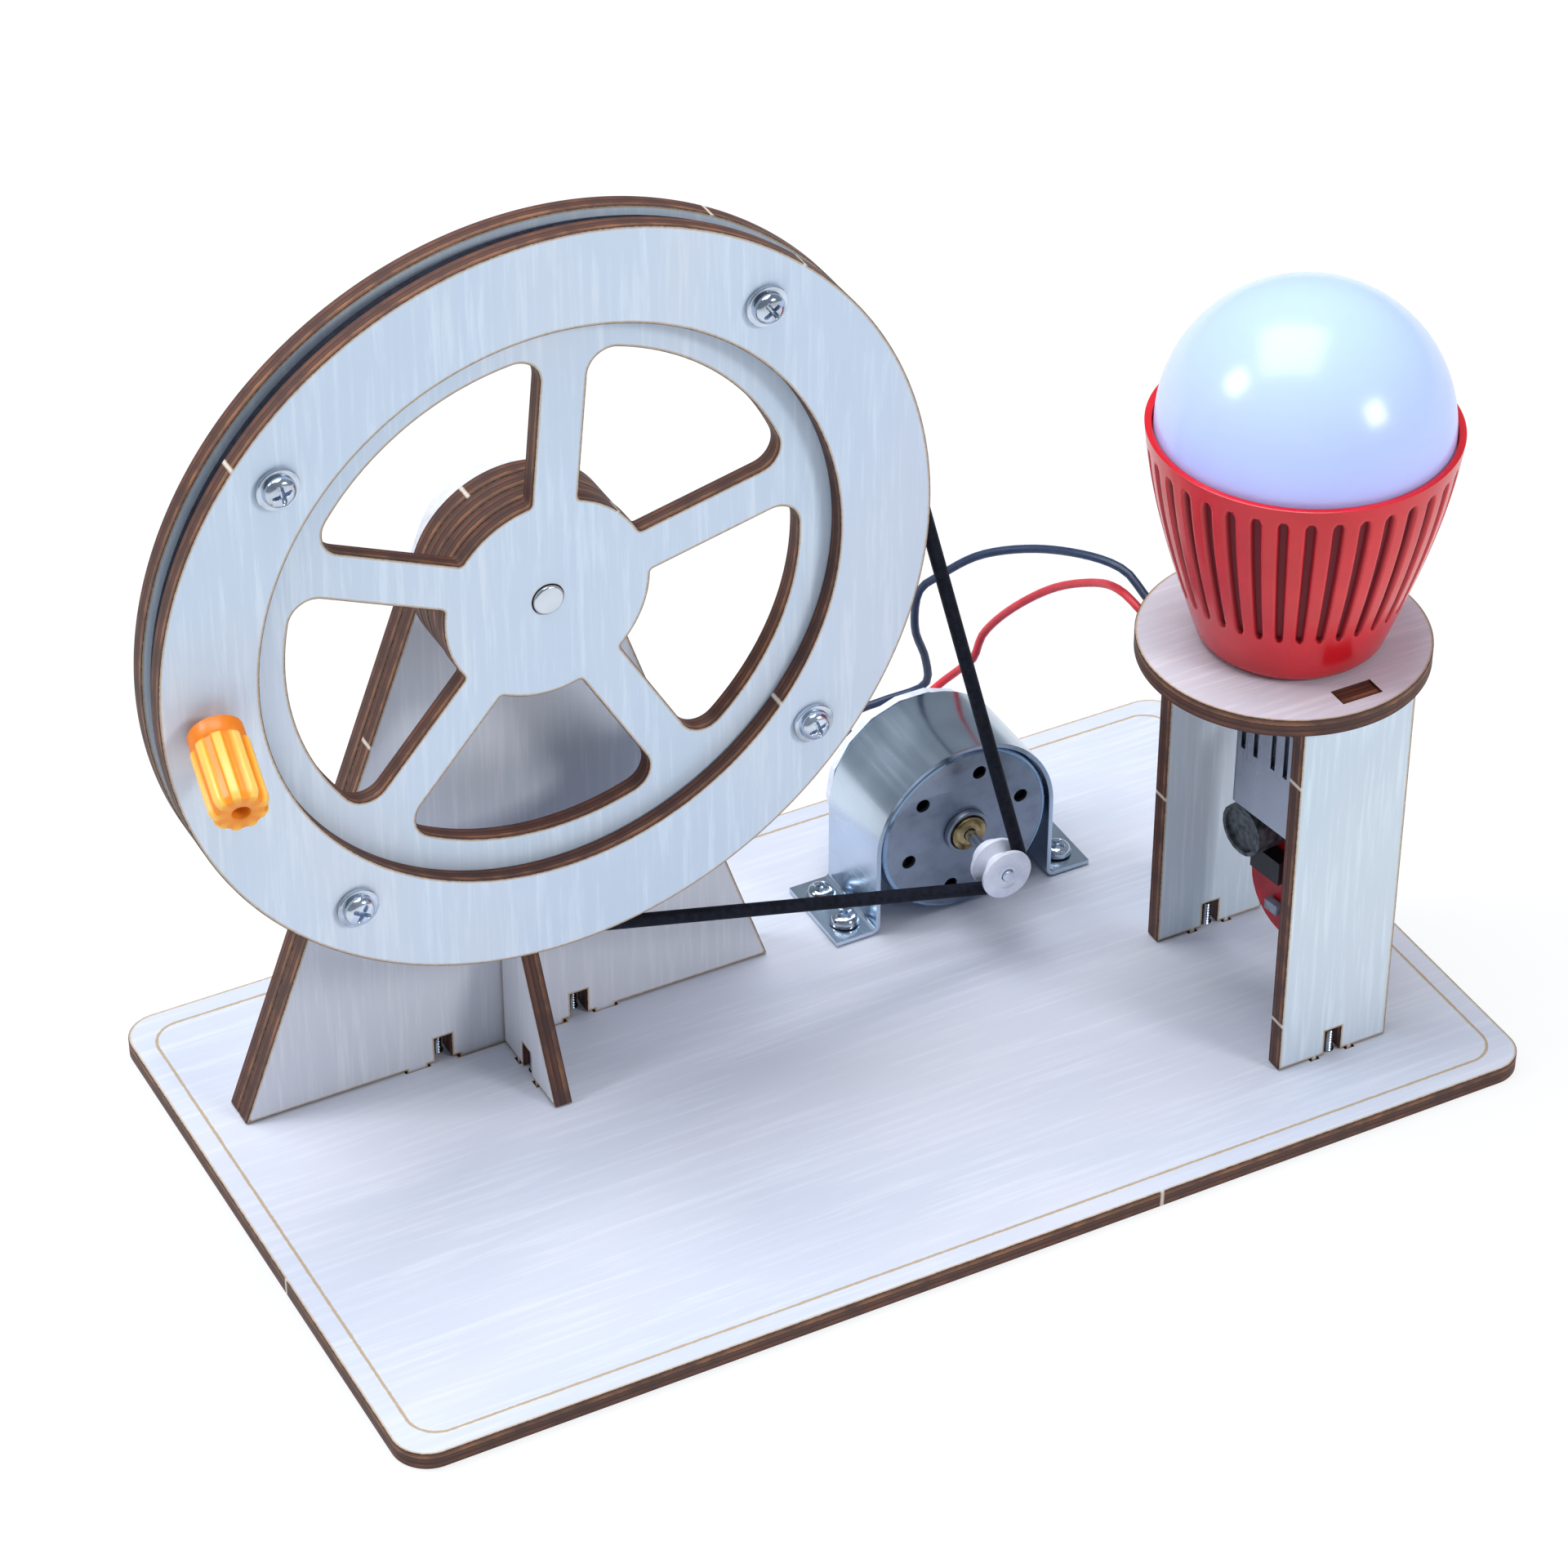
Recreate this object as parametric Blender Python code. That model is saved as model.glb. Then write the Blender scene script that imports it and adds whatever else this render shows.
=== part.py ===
"""Hand crank generator.

A plywood flywheel with a crank knob turns on an A-shaped support. A rubber belt in its
groove drives a small motor, and two leads run from the motor to a lamp on its own stand.
Metres, +Z up, +X to the right and -Y to the front.
The origin is the centre of the base plate's underside."""
import math

import bmesh
import bpy
from mathutils import Euler, Matrix, Vector

# Sheet and fits
PLY = 0.003
GAP = 0.0003
SLIP = 0.00015
OVERRUN = 0.001

# Base plate
BASE_LENGTH = 0.200
BASE_WIDTH = 0.115
BASE_CORNER = 0.006

# Screws that come up through the base into the slots of the standing plates
SLOT_WIDTH = 0.003
SLOT_HEIGHT = 0.005
TAB_CLEARANCE = 0.0003
TAB_RECESS = 0.0002
FOOT_SCREW_RADIUS = 0.0010
FOOT_SCREW_HEAD_RADIUS = 0.0019
FOOT_SCREW_HEAD_HEIGHT = 0.0009
FOOT_SCREW_WALL = 0.0003
FOOT_SCREW_REACH = 0.0042

# Flywheel
WHEEL_X = -0.042
AXLE_HEIGHT = 0.0954
WHEEL_FRONT_Y = 0.0061
RING_RADIUS = 0.0638
RING_BORE = 0.0481
WHEEL_RADIUS = 0.0604
HUB_RADIUS = 0.0171
WINDOW_RADIUS = 0.0426
SPOKE_COUNT = 5
SPOKE_WIDTH = 0.0076
SPOKE_ANGLE = math.radians(84.4)
WINDOW_FILLET = 0.0025
HUB_FILLET = 0.0016
SPACER_COUNT = 3
SPACER_RADIUS = 0.0169

# Axle, bush and rear collar
AXLE_RADIUS = 0.0025
AXLE_PROUD = 0.0006
AXLE_TAIL = 0.0014
AXLE_CHAMFER = 0.0004
BUSH_LENGTH = 0.0015
BUSH_RADIUS = 0.008
COLLAR_LENGTH = 0.004
COLLAR_RADIUS = 0.0052
COLLAR_CHAMFER = 0.0005

# Screws and nuts of the flywheel
RING_SCREW_COUNT = 4
RING_SCREW_CIRCLE = 0.0557
RING_SCREW_ANGLE = math.radians(50.9)
RING_SCREW_RADIUS = 0.0014
RING_FLANGE_RADIUS = 0.0034
RING_FLANGE_HEIGHT = 0.0006
RING_DOME_RADIUS = 0.0026
RING_DOME_HEIGHT = 0.0022
NUT_RADIUS = 0.0031
NUT_HEIGHT = 0.0022
SCREW_TAIL = 0.0006

# Crank knob: it leans down and outward on its screw
CRANK_CIRCLE = 0.0559
CRANK_ANGLE = math.radians(181.8)
CRANK_DROOP = math.radians(17.1)
CRANK_SPLAY = math.radians(8.6)
KNOB_RADIUS = 0.0049
KNOB_LENGTH = 0.0152
KNOB_COLLAR_LENGTH = 0.0028
KNOB_COLLAR_RADIUS = 0.0046
KNOB_END_RADIUS = 0.0042
KNOB_END_HEIGHT = 0.0009
KNOB_RIB_COUNT = 9
KNOB_RIB_DEPTH = 0.0008
KNOB_HOLE_RADIUS = 0.0020
KNOB_HOLE_DEPTH = 0.0035
CRANK_SCREW_RADIUS = 0.0011
CRANK_HEAD_HEIGHT = 0.0012
CRANK_HEAD_RADIUS = 0.0017

# A-shaped support, two layers
SUPPORT_X = -0.0442
SUPPORT_HALF_FOOT = 0.0469
SUPPORT_HEAD_RADIUS = 0.012
SUPPORT_LAYERS = 2
SUPPORT_HALF_TAB = 0.0188
SUPPORT_SLOT_OFFSET = 0.0122

# Rib square to the support
RIB_REACH = 0.0191
RIB_HEIGHT = 0.0388
RIB_TIP = 0.0008
RIB_TAB = 0.0078
RIB_SLOT_DISTANCE = 0.0087

# Motor, used as the generator
MOTOR_X = 0.0382
MOTOR_RADIUS = 0.0158
MOTOR_FRONT_Y = 0.0207
MOTOR_LENGTH = 0.0180
MOTOR_WALL = 0.0008
MOTOR_EDGE = 0.0009
MOTOR_BOSS_RADIUS = 0.0039
MOTOR_BOSS_HEIGHT = 0.0012
MOTOR_BEARING_RADIUS = 0.0031
MOTOR_BEARING_PROUD = 0.0005
MOTOR_BEARING_LENGTH = 0.0030
MOTOR_HOLE_COUNT = 6
MOTOR_HOLE_RADIUS = 0.0017
MOTOR_HOLE_CIRCLE = 0.0111
MOTOR_HOLE_ANGLE = math.radians(17)
MOTOR_NOTCH_WIDTH = 0.0022
MOTOR_NOTCH_DEPTH = 0.0012
SHAFT_RADIUS = 0.001
SHAFT_PROUD = 0.0005
CAP_THICKNESS = 0.0022
CAP_BOSS_RADIUS = 0.0038
CAP_BOSS_HEIGHT = 0.0014
MAGNET_THICKNESS = 0.0036
MAGNET_LENGTH = 0.0120
MAGNET_SPAN = math.radians(118)
ARMATURE_RADIUS = 0.0099
ARMATURE_LENGTH = 0.0090
ARMATURE_POLES = 3
POLE_NECK = 0.0030
POLE_SHOE = 0.0018
POLE_SPAN = math.radians(96)
ARMATURE_CORE = 0.0036
COMMUTATOR_RADIUS = 0.0026
COMMUTATOR_LENGTH = 0.0028
BRUSH_WIDTH = 0.0016
BRUSH_LENGTH = 0.0024
TERMINAL_WIDTH = 0.0024
TERMINAL_THICKNESS = 0.0005
TERMINAL_LENGTH = 0.0028
TERMINAL_OFFSET_X = 0.0080
TERMINAL_OFFSET_Z = 0.0060

# Drive pulley
PULLEY_FLANGE_RADIUS = 0.0045
PULLEY_FLANGE = 0.0007
PULLEY_GROOVE_RADIUS = 0.0025
PULLEY_GROOVE_WIDTH = 0.0032
PULLEY_BOSS_RADIUS = 0.0030
PULLEY_BOSS_LENGTH = 0.0020
PULLEY_BELT_Y = 0.0087

# Drive belt
BELT_RADIUS = 0.00115

# Saddle bracket over the motor
BRACKET_THICKNESS = 0.0008
BRACKET_WIDTH = 0.0170
BRACKET_FRONT_Y = 0.0203
BRACKET_FOOT = 0.0075
BRACKET_SCREW_OUT = 0.0037
BRACKET_SCREW_INSET = 0.0044
PAN_HEAD_RADIUS = 0.0025
PAN_HEAD_HEIGHT = 0.0016
PAN_SCREW_RADIUS = 0.0012
PAN_SCREW_DEPTH = 0.0022
PAN_CROWN_RADIUS_SHARE = 0.75
PAN_CROWN_HEIGHT_SHARE = 0.9

# Lamp stand
LEG_INSET = 0.028
LEG_WIDTH = 0.0204
LEG_TAB = 0.0078
LEG_TOP_TAB = 0.0065
FRONT_LEG_INSET = 0.0163
LEG_PITCH = 0.0377
DISC_SHIFT_X = -0.0015
DISC_SHIFT_Y = -0.00035
DISC_RIM = 0.00305
DISC_HEIGHT = 0.0683

# Lamp
LAMP_SHIFT_X = 0.0013
LAMP_SHIFT_Y = 0.0003
LAMP_TURN = math.radians(8)
CUP_BASE_RADIUS = 0.0146
CUP_RIM_RADIUS = 0.0245
CUP_HEIGHT = 0.0380
CUP_WALL = 0.0022
CUP_FLOOR = 0.0022
CUP_EDGE = 0.0012
CUP_SEAT_DEPTH = 0.0024
CUP_SWELL_SHARE = 0.6
CUP_SLOT_COUNT = 36
CUP_SLOT_SHARE = 0.44
CUP_SLOT_DEPTH = 0.0012
CUP_SLOT_LOW = 0.0098
CUP_SLOT_TOP = 0.0026
DOME_RADIUS = 0.0231
DOME_WALL = 0.0012
DOME_SKIRT = 0.0018
LIGHT_BOARD_THICKNESS = 0.0016
LED_RADIUS = 0.0026
LED_HEIGHT = 0.0022
LED_CROWN_SHARE = 0.6
NECK_WIDTH = 0.0150
NECK_DEPTH = 0.0080
NECK_CORNER = 0.0018
PLUG_WIDTH = 0.0120
PLUG_DEPTH = 0.0045
PLUG_WALL = 0.0005
PLUG_LENGTH = 0.0120
PLUG_BLOCK = 0.0018

# Converter board with its socket, under the disc
SOCKET_WIDTH = 0.0146
SOCKET_DEPTH = 0.0070
SOCKET_WALL = 0.0008
SOCKET_CORNER = 0.0009
SOCKET_BOTTOM = 0.0355
SOCKET_HEIGHT = 0.0201
SPRING_SLOT_WIDTH = 0.0010
SPRING_SLOT_LENGTH = 0.0088
SPRING_SLOT_INNER = 0.0021
SPRING_SLOT_OUTER = 0.0051
SOCKET_BLOCK = 0.0050
TONGUE_THICKNESS = 0.0011
TONGUE_LENGTH = 0.0170
BOARD_WIDTH = 0.0180
BOARD_THICKNESS = 0.0016
BOARD_CENTRE_HEIGHT = 0.0175
BOARD_TOP = 0.0460
COIL_RADIUS = 0.0046
COIL_LENGTH = 0.0067
COIL_Y = 0.0046
COIL_HEIGHT = 0.0304
COIL_RIM = 0.0007
COIL_RECESS = 0.0006
CHIP_WIDTH = 0.0070
CHIP_HEIGHT = 0.0044
CHIP_DEPTH = 0.0028
CHIP_Y = 0.0026
CHIP_LEVEL = 0.0229
SMALL_PART_WIDTH = 0.0030
SMALL_PART_HEIGHT = 0.0018
SMALL_PART_DEPTH = 0.0013
SMALL_PART_PITCH_Y = 0.0042
SMALL_PART_LEVEL = 0.0128

# Leads: the rise is measured from the motor's front and the fall from the lamp's axis
LEAD_RADIUS = 0.0007
LEAD_STEP = 0.0042
LEAD_LANDING_Y = 0.004
LEAD_LANDING_HEIGHT = 0.040
LEAD_DROP = 0.004
DARK_LEAD_RISE = [
    (-0.0052, 0.0293, 0.0071), (0.0003, 0.0283, 0.0084), (0.0058, 0.0248, 0.0119),
    (0.0048, 0.0228, 0.0189), (0.0019, 0.0215, 0.0269), (0.0018, 0.0203, 0.0350),
    (0.0039, 0.0173, 0.0394), (0.0081, 0.0113, 0.0458),
]
DARK_LEAD_FALL = [
    (-0.0203, 0.0449, 0.0663), (-0.0164, 0.0349, 0.0698), (-0.0136, 0.0279, 0.0703),
    (-0.0126, 0.0231, 0.0682), (-0.0119, 0.0187, 0.0663), (-0.0098, 0.0139, 0.0630),
    (-0.0038, 0.0117, 0.0590), (0.0020, 0.0109, 0.0560), (0.0052, 0.0084, 0.0515),
]
RED_LEAD_RISE = [
    (0.0108, 0.0285, 0.0079), (0.0128, 0.0253, 0.0124), (0.0133, 0.0213, 0.0173),
    (0.0140, 0.0193, 0.0234), (0.0158, 0.0133, 0.0315), (0.0187, 0.0053, 0.0395),
    (0.0201, -0.0047, 0.0462),
]
RED_LEAD_FALL = [
    (-0.0138, 0.0289, 0.0660), (-0.0133, 0.0229, 0.0655), (-0.0124, 0.0187, 0.0634),
    (-0.0103, 0.0139, 0.0595), (-0.0038, 0.0124, 0.0550), (0.0042, 0.0124, 0.0530),
    (0.0092, 0.0089, 0.0515), (0.0094, 0.0024, 0.0490),
]

# Facets
FINE = 44
ROUND = 28
MEDIUM = 18
COARSE = 10
SCREW_SIDES = 12

LOOKS = {
    "plywood": ((0.80, 0.82, 0.88), 0.65, 0.0),
    "steel": ((0.70, 0.74, 0.80), 0.25, 1.0),
    "bright_steel": ((0.80, 0.82, 0.86), 0.18, 1.0),
    "dark_steel": ((0.30, 0.32, 0.35), 0.40, 1.0),
    "brass": ((0.80, 0.62, 0.30), 0.30, 1.0),
    "copper": ((0.72, 0.40, 0.26), 0.35, 1.0),
    "magnet": ((0.12, 0.12, 0.13), 0.60, 0.0),
    "orange_plastic": ((0.95, 0.42, 0.06), 0.40, 0.0),
    "white_plastic": ((0.90, 0.91, 0.92), 0.40, 0.0),
    "black_plastic": ((0.04, 0.04, 0.05), 0.45, 0.0),
    "black_rubber": ((0.015, 0.018, 0.03), 0.55, 0.0),
    "red_plastic": ((0.75, 0.03, 0.05), 0.32, 0.0),
    "milk_plastic": ((0.78, 0.80, 0.92), 0.22, 0.0),
    "red_board": ((0.62, 0.02, 0.05), 0.40, 0.0),
    "grey_part": ((0.45, 0.52, 0.60), 0.40, 0.0),
    "blue_lead": ((0.03, 0.05, 0.22), 0.40, 0.0),
    "red_lead": ((0.75, 0.03, 0.04), 0.40, 0.0),
}

for old in list(bpy.data.objects):
    bpy.data.objects.remove(old, do_unlink=True)

# Heights and places that follow from the sizes above
WHEEL_Z = PLY + AXLE_HEIGHT
LAYER = PLY + GAP
MOTOR_Z = PLY + GAP + MOTOR_RADIUS
DISC_Z = PLY + DISC_HEIGHT
LAMP_Z = DISC_Z + PLY + GAP
FRONT_LEG_Y = FRONT_LEG_INSET - BASE_WIDTH / 2
REAR_LEG_Y = FRONT_LEG_Y + LEG_PITCH
LEG_X = BASE_LENGTH / 2 - LEG_INSET
DISC_X = LEG_X + DISC_SHIFT_X
DISC_Y = FRONT_LEG_Y + (LEG_PITCH + PLY) / 2 + DISC_SHIFT_Y
DISC_RADIUS = (LEG_PITCH + PLY) / 2 + DISC_RIM
LAMP_X = DISC_X + LAMP_SHIFT_X
LAMP_Y = DISC_Y + LAMP_SHIFT_Y
SUPPORT_Y = WHEEL_FRONT_Y + LAYER * (2 + SPACER_COUNT) + BUSH_LENGTH + GAP
SUPPORT_DEPTH = SUPPORT_LAYERS * LAYER - GAP
FRONT_FACING = Euler((math.pi / 2, 0, 0))
SIDE_FACING = Matrix(((0, 0, 1), (1, 0, 0), (0, 1, 0))).to_euler()


def look(name):
    """The named material, made on first use."""
    found = bpy.data.materials.get(name)
    if found:
        return found
    colour, roughness, metallic = LOOKS[name]
    made = bpy.data.materials.new(name)
    made.use_nodes = True
    shader = made.node_tree.nodes["Principled BSDF"]
    shader.inputs["Base Color"].default_value = (*colour, 1.0)
    shader.inputs["Roughness"].default_value = roughness
    shader.inputs["Metallic"].default_value = metallic
    return made


def place(name, bm, finish, location=(0, 0, 0), rotation=None, parent=None):
    """Turn a bmesh into a named object with its material, shaded smooth where it is round."""
    bmesh.ops.recalc_face_normals(bm, faces=bm.faces[:])
    mesh = bpy.data.meshes.new(name)
    bm.to_mesh(mesh)
    bm.free()
    mesh.shade_smooth()
    mesh.set_sharp_from_angle(angle=math.radians(35))
    mesh.materials.append(look(finish))
    made = bpy.data.objects.new(name, mesh)
    made.location = location
    if rotation:
        made.rotation_euler = rotation
    made.parent = parent
    bpy.context.scene.collection.objects.link(made)
    return made


def cut(target, name, bm, location=(0, 0, 0), rotation=None, operation="DIFFERENCE"):
    """Cut a bmesh out of an object, or join it on."""
    tool = place(name, bm, "black_plastic", location, rotation, target.parent)
    tool.hide_render = True
    tool.display_type = "WIRE"
    boolean = target.modifiers.new(name, "BOOLEAN")
    boolean.operation = operation
    boolean.solver = "EXACT"
    boolean.object = tool


def arc(radius, start, end, steps, centre=(0, 0)):
    """Points from the start angle to the end angle, both included."""
    turn = [start + (end - start) * i / steps for i in range(steps + 1)]
    return [(centre[0] + radius * math.cos(a), centre[1] + radius * math.sin(a)) for a in turn]


def circle(radius, steps, centre=(0, 0)):
    return arc(radius, 0, math.tau, steps, centre)[:-1]


def on_circle(radius, angle, centre=(0, 0)):
    return (centre[0] + radius * math.cos(angle), centre[1] + radius * math.sin(angle))


def box_loop(x0, y0, x1, y1):
    return [(x0, y0), (x1, y0), (x1, y1), (x0, y1)]


def rounded(points, radii, steps=4):
    """The outline with each corner rounded by its own radius."""
    made = []
    for i, here in enumerate(points):
        radius = radii[i] if isinstance(radii, (list, tuple)) else radii
        corner = Vector(here)
        back = (Vector(points[i - 1]) - corner).normalized()
        ahead = (Vector(points[(i + 1) % len(points)]) - corner).normalized()
        half = back.angle(ahead) / 2
        if radius == 0 or half > math.radians(85):
            made.append(tuple(corner))
            continue
        centre = corner + (back + ahead).normalized() * (radius / math.sin(half))
        first = corner + back * (radius / math.tan(half)) - centre
        last = corner + ahead * (radius / math.tan(half)) - centre
        swing = first.angle_signed(last)
        for k in range(steps + 1):
            made.append(tuple(centre + Matrix.Rotation(-swing * k / steps, 2) @ first))
    return made


def plate(loops, thickness):
    """A flat sheet: the first loop is its outline and the others are holes."""
    bm = bmesh.new()
    for loop in loops:
        corners = [bm.verts.new((x, y, 0)) for x, y in loop]
        for i, corner in enumerate(corners):
            bm.edges.new((corners[i - 1], corner))
    bmesh.ops.triangle_fill(bm, use_beauty=True, edges=bm.edges[:], normal=(0, 0, 1))
    sheet = bmesh.ops.extrude_face_region(bm, geom=bm.faces[:], use_keep_orig=True)
    upper = [item for item in sheet["geom"] if isinstance(item, bmesh.types.BMVert)]
    bmesh.ops.translate(bm, verts=upper, vec=(0, 0, thickness))
    return bm


def turned(profile, steps, closed=False):
    """A turned piece about local Z from points (radius, height)."""
    bm = bmesh.new()
    points = [bm.verts.new((radius, 0, height)) for radius, height in profile]
    for i in range(0 if closed else 1, len(points)):
        bm.edges.new((points[i - 1], points[i]))
    bmesh.ops.spin(
        bm, geom=bm.verts[:] + bm.edges[:], cent=(0, 0, 0), axis=(0, 0, 1),
        angle=math.tau, steps=steps, use_merge=True)
    bmesh.ops.remove_doubles(bm, verts=bm.verts[:], dist=GAP / 100)
    return bm


def repeated(bm, places):
    """The same tool once at each place."""
    own = bm.verts[:]
    source = own + bm.edges[:] + bm.faces[:]
    for point in places[1:]:
        copy = bmesh.ops.duplicate(bm, geom=source)
        moved = [item for item in copy["geom"] if isinstance(item, bmesh.types.BMVert)]
        bmesh.ops.translate(bm, verts=moved, vec=point)
    bmesh.ops.translate(bm, verts=own, vec=places[0])
    return bm


def place_each(name, bm, finish, locations, rotation=None, parent=None):
    """The same piece once at each location, numbered from 1."""
    first = place(name + "_1", bm, finish, locations[0], rotation, parent)
    for i, location in enumerate(locations[1:]):
        made = bpy.data.objects.new("%s_%d" % (name, i + 2), first.data)
        made.location = location
        made.rotation_euler = first.rotation_euler
        made.parent = parent
        bpy.context.scene.collection.objects.link(made)


def hexagonal(bm, low, high, radius):
    """Give the turned stretch between two heights six flats, as on a nut."""
    for vertex in bm.verts:
        flat = Vector(vertex.co.xy)
        if low < vertex.co.z < high and flat.length > radius - GAP:
            corner = round(math.atan2(flat.y, flat.x) / math.tau * SCREW_SIDES) % 2 == 0
            vertex.co.xy = flat.normalized() * (radius if corner else radius * math.cos(math.pi / 6))
    return bm


def brick(x0, y0, z0, x1, y1, z1):
    """A rectangular block between two corners."""
    bm = plate([box_loop(x0, y0, x1, y1)], z1 - z0)
    bmesh.ops.translate(bm, verts=bm.verts[:], vec=(0, 0, z0))
    return bm


def prongs(tab_low, tab_high, slots):
    """The stretches of a tab that are left beside its screw slots."""
    room = FOOT_SCREW_HEAD_RADIUS + GAP + FOOT_SCREW_WALL + TAB_CLEARANCE
    edges = [tab_low]
    for slot in slots:
        edges += [slot - room, slot + room]
    edges.append(tab_high)
    return list(zip(edges[0::2], edges[1::2]))


def foot_path(low, high, tab_low, tab_high, slots):
    """The lower edge of a standing plate, left to right, with its tab and screw slots."""
    shoulder, tip, slot_top = PLY + GAP, TAB_RECESS, PLY + SLOT_HEIGHT
    path = [(low, shoulder), (tab_low, shoulder)]
    for i, (start, end) in enumerate(prongs(tab_low, tab_high, slots)):
        if i:
            left, right = slots[i - 1] - SLOT_WIDTH / 2, slots[i - 1] + SLOT_WIDTH / 2
            path += [(left, shoulder), (left, slot_top), (right, slot_top), (right, shoulder)]
            path.append((start, shoulder))
        path += [(start, tip), (end, tip)]
        if i < len(slots):
            path.append((end, shoulder))
    return path + [(tab_high, shoulder), (high, shoulder)]


def tangent_angle(corner, centre, radius, side):
    """The angle on the circle where the line from a corner touches it."""
    away = Vector(corner) - Vector(centre)
    return math.atan2(away.y, away.x) + side * math.acos(radius / away.length)


# Base plate with a slot for each prong and the holes of the screws from below
SUPPORT_SLOTS = [-SUPPORT_SLOT_OFFSET, SUPPORT_SLOT_OFFSET]
SUPPORT_MID_Y = SUPPORT_Y + SUPPORT_DEPTH / 2
RIB_BACK_Y = SUPPORT_Y - GAP
RIB_FRONT_Y = RIB_BACK_Y - RIB_REACH
RIB_SLOT_Y = RIB_BACK_Y - RIB_SLOT_DISTANCE
FRONT_LEG_MID_Y = FRONT_LEG_Y + PLY / 2
REAR_LEG_MID_Y = REAR_LEG_Y + PLY / 2
FOOT_SCREWS = [
    (SUPPORT_X - SUPPORT_SLOT_OFFSET, SUPPORT_MID_Y, 0),
    (SUPPORT_X + SUPPORT_SLOT_OFFSET, SUPPORT_MID_Y, 0),
    (SUPPORT_X, RIB_SLOT_Y, 0),
    (LEG_X, FRONT_LEG_MID_Y, 0),
    (LEG_X, REAR_LEG_MID_Y, 0),
]
BRACKET_OUTER = MOTOR_RADIUS + GAP + BRACKET_THICKNESS
BRACKET_SCREW_X = BRACKET_OUTER + BRACKET_SCREW_OUT
BRACKET_SCREWS = [
    (MOTOR_X + side * BRACKET_SCREW_X, BRACKET_FRONT_Y + along, 0)
    for side in (-1, 1) for along in (BRACKET_SCREW_INSET, BRACKET_WIDTH - BRACKET_SCREW_INSET)
]


def prong_slots(x, y, width, tab_low, tab_high, slots, along_y=False):
    """Holes in the base for the prongs of one standing plate."""
    made = []
    half = width / 2 + TAB_CLEARANCE
    for start, end in prongs(tab_low, tab_high, slots):
        low, high = start - TAB_CLEARANCE, end + TAB_CLEARANCE
        if along_y:
            made.append(box_loop(x - half, y + low, x + half, y + high))
        else:
            made.append(box_loop(x + low, y - half, x + high, y + half))
    return made


BASE_HALVES = (BASE_LENGTH / 2, BASE_WIDTH / 2)
base_loops = [rounded(box_loop(-BASE_HALVES[0], -BASE_HALVES[1], *BASE_HALVES), BASE_CORNER, 6)]
base_loops += prong_slots(SUPPORT_X, SUPPORT_MID_Y, SUPPORT_DEPTH, -SUPPORT_HALF_TAB,
                          SUPPORT_HALF_TAB, SUPPORT_SLOTS)
base_loops += prong_slots(SUPPORT_X, RIB_SLOT_Y, PLY, -RIB_TAB / 2, RIB_TAB / 2, [0], True)
for leg_y in (FRONT_LEG_MID_Y, REAR_LEG_MID_Y):
    base_loops += prong_slots(LEG_X, leg_y, PLY, -LEG_TAB / 2, LEG_TAB / 2, [0])
for hole in BRACKET_SCREWS:
    base_loops.append(circle(PAN_SCREW_RADIUS + SLIP, COARSE, hole[:2]))
base_plate = place("base_plate", plate(base_loops, PLY), "plywood")
cut(base_plate, "base_screw_holes", repeated(turned([
    (0, -OVERRUN),
    (FOOT_SCREW_HEAD_RADIUS + GAP, -OVERRUN),
    (FOOT_SCREW_HEAD_RADIUS + GAP, TAB_RECESS),
    (FOOT_SCREW_RADIUS + SLIP, TAB_RECESS + FOOT_SCREW_HEAD_HEIGHT + GAP),
    (FOOT_SCREW_RADIUS + SLIP, PLY + OVERRUN),
    (0, PLY + OVERRUN)], COARSE), FOOT_SCREWS))
place_each("foot_screw", turned([
    (0, TAB_RECESS),
    (FOOT_SCREW_HEAD_RADIUS, TAB_RECESS),
    (FOOT_SCREW_RADIUS, TAB_RECESS + FOOT_SCREW_HEAD_HEIGHT),
    (FOOT_SCREW_RADIUS, PLY + FOOT_SCREW_REACH - FOOT_SCREW_RADIUS / 2),
    (FOOT_SCREW_RADIUS / 2, PLY + FOOT_SCREW_REACH),
    (0, PLY + FOOT_SCREW_REACH)], SCREW_SIDES), "bright_steel", FOOT_SCREWS)

# A-shaped support: straight flanks run from the foot's corners to a round head
hub_place = (WHEEL_X - SUPPORT_X, WHEEL_Z)
foot_left = (-SUPPORT_HALF_FOOT, PLY + GAP)
foot_right = (SUPPORT_HALF_FOOT, PLY + GAP)
head_start = tangent_angle(foot_right, hub_place, SUPPORT_HEAD_RADIUS, 1)
head_end = tangent_angle(foot_left, hub_place, SUPPORT_HEAD_RADIUS, -1) + math.tau
support_loop = foot_path(-SUPPORT_HALF_FOOT, SUPPORT_HALF_FOOT, -SUPPORT_HALF_TAB,
                         SUPPORT_HALF_TAB, SUPPORT_SLOTS)
support_loop += arc(SUPPORT_HEAD_RADIUS, head_start, head_end, COARSE, hub_place)
axle_hole = circle(AXLE_RADIUS + SLIP, MEDIUM, hub_place)
for layer, name in enumerate(("support_plate_front", "support_plate_rear")):
    back = SUPPORT_Y + layer * LAYER + PLY
    place(name, plate([support_loop, axle_hole], PLY), "plywood", (SUPPORT_X, back, 0), FRONT_FACING)

# Rib: a slanted front edge rises to a narrow tip at the support
rib_loop = foot_path(RIB_FRONT_Y, RIB_BACK_Y, RIB_SLOT_Y - RIB_TAB / 2, RIB_SLOT_Y + RIB_TAB / 2,
                     [RIB_SLOT_Y])
rib_loop += [(RIB_BACK_Y, PLY + RIB_HEIGHT), (RIB_BACK_Y - RIB_TIP, PLY + RIB_HEIGHT)]
place("rib_gusset", plate([rib_loop], PLY), "plywood", (SUPPORT_X - PLY / 2, 0, 0), SIDE_FACING)

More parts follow.
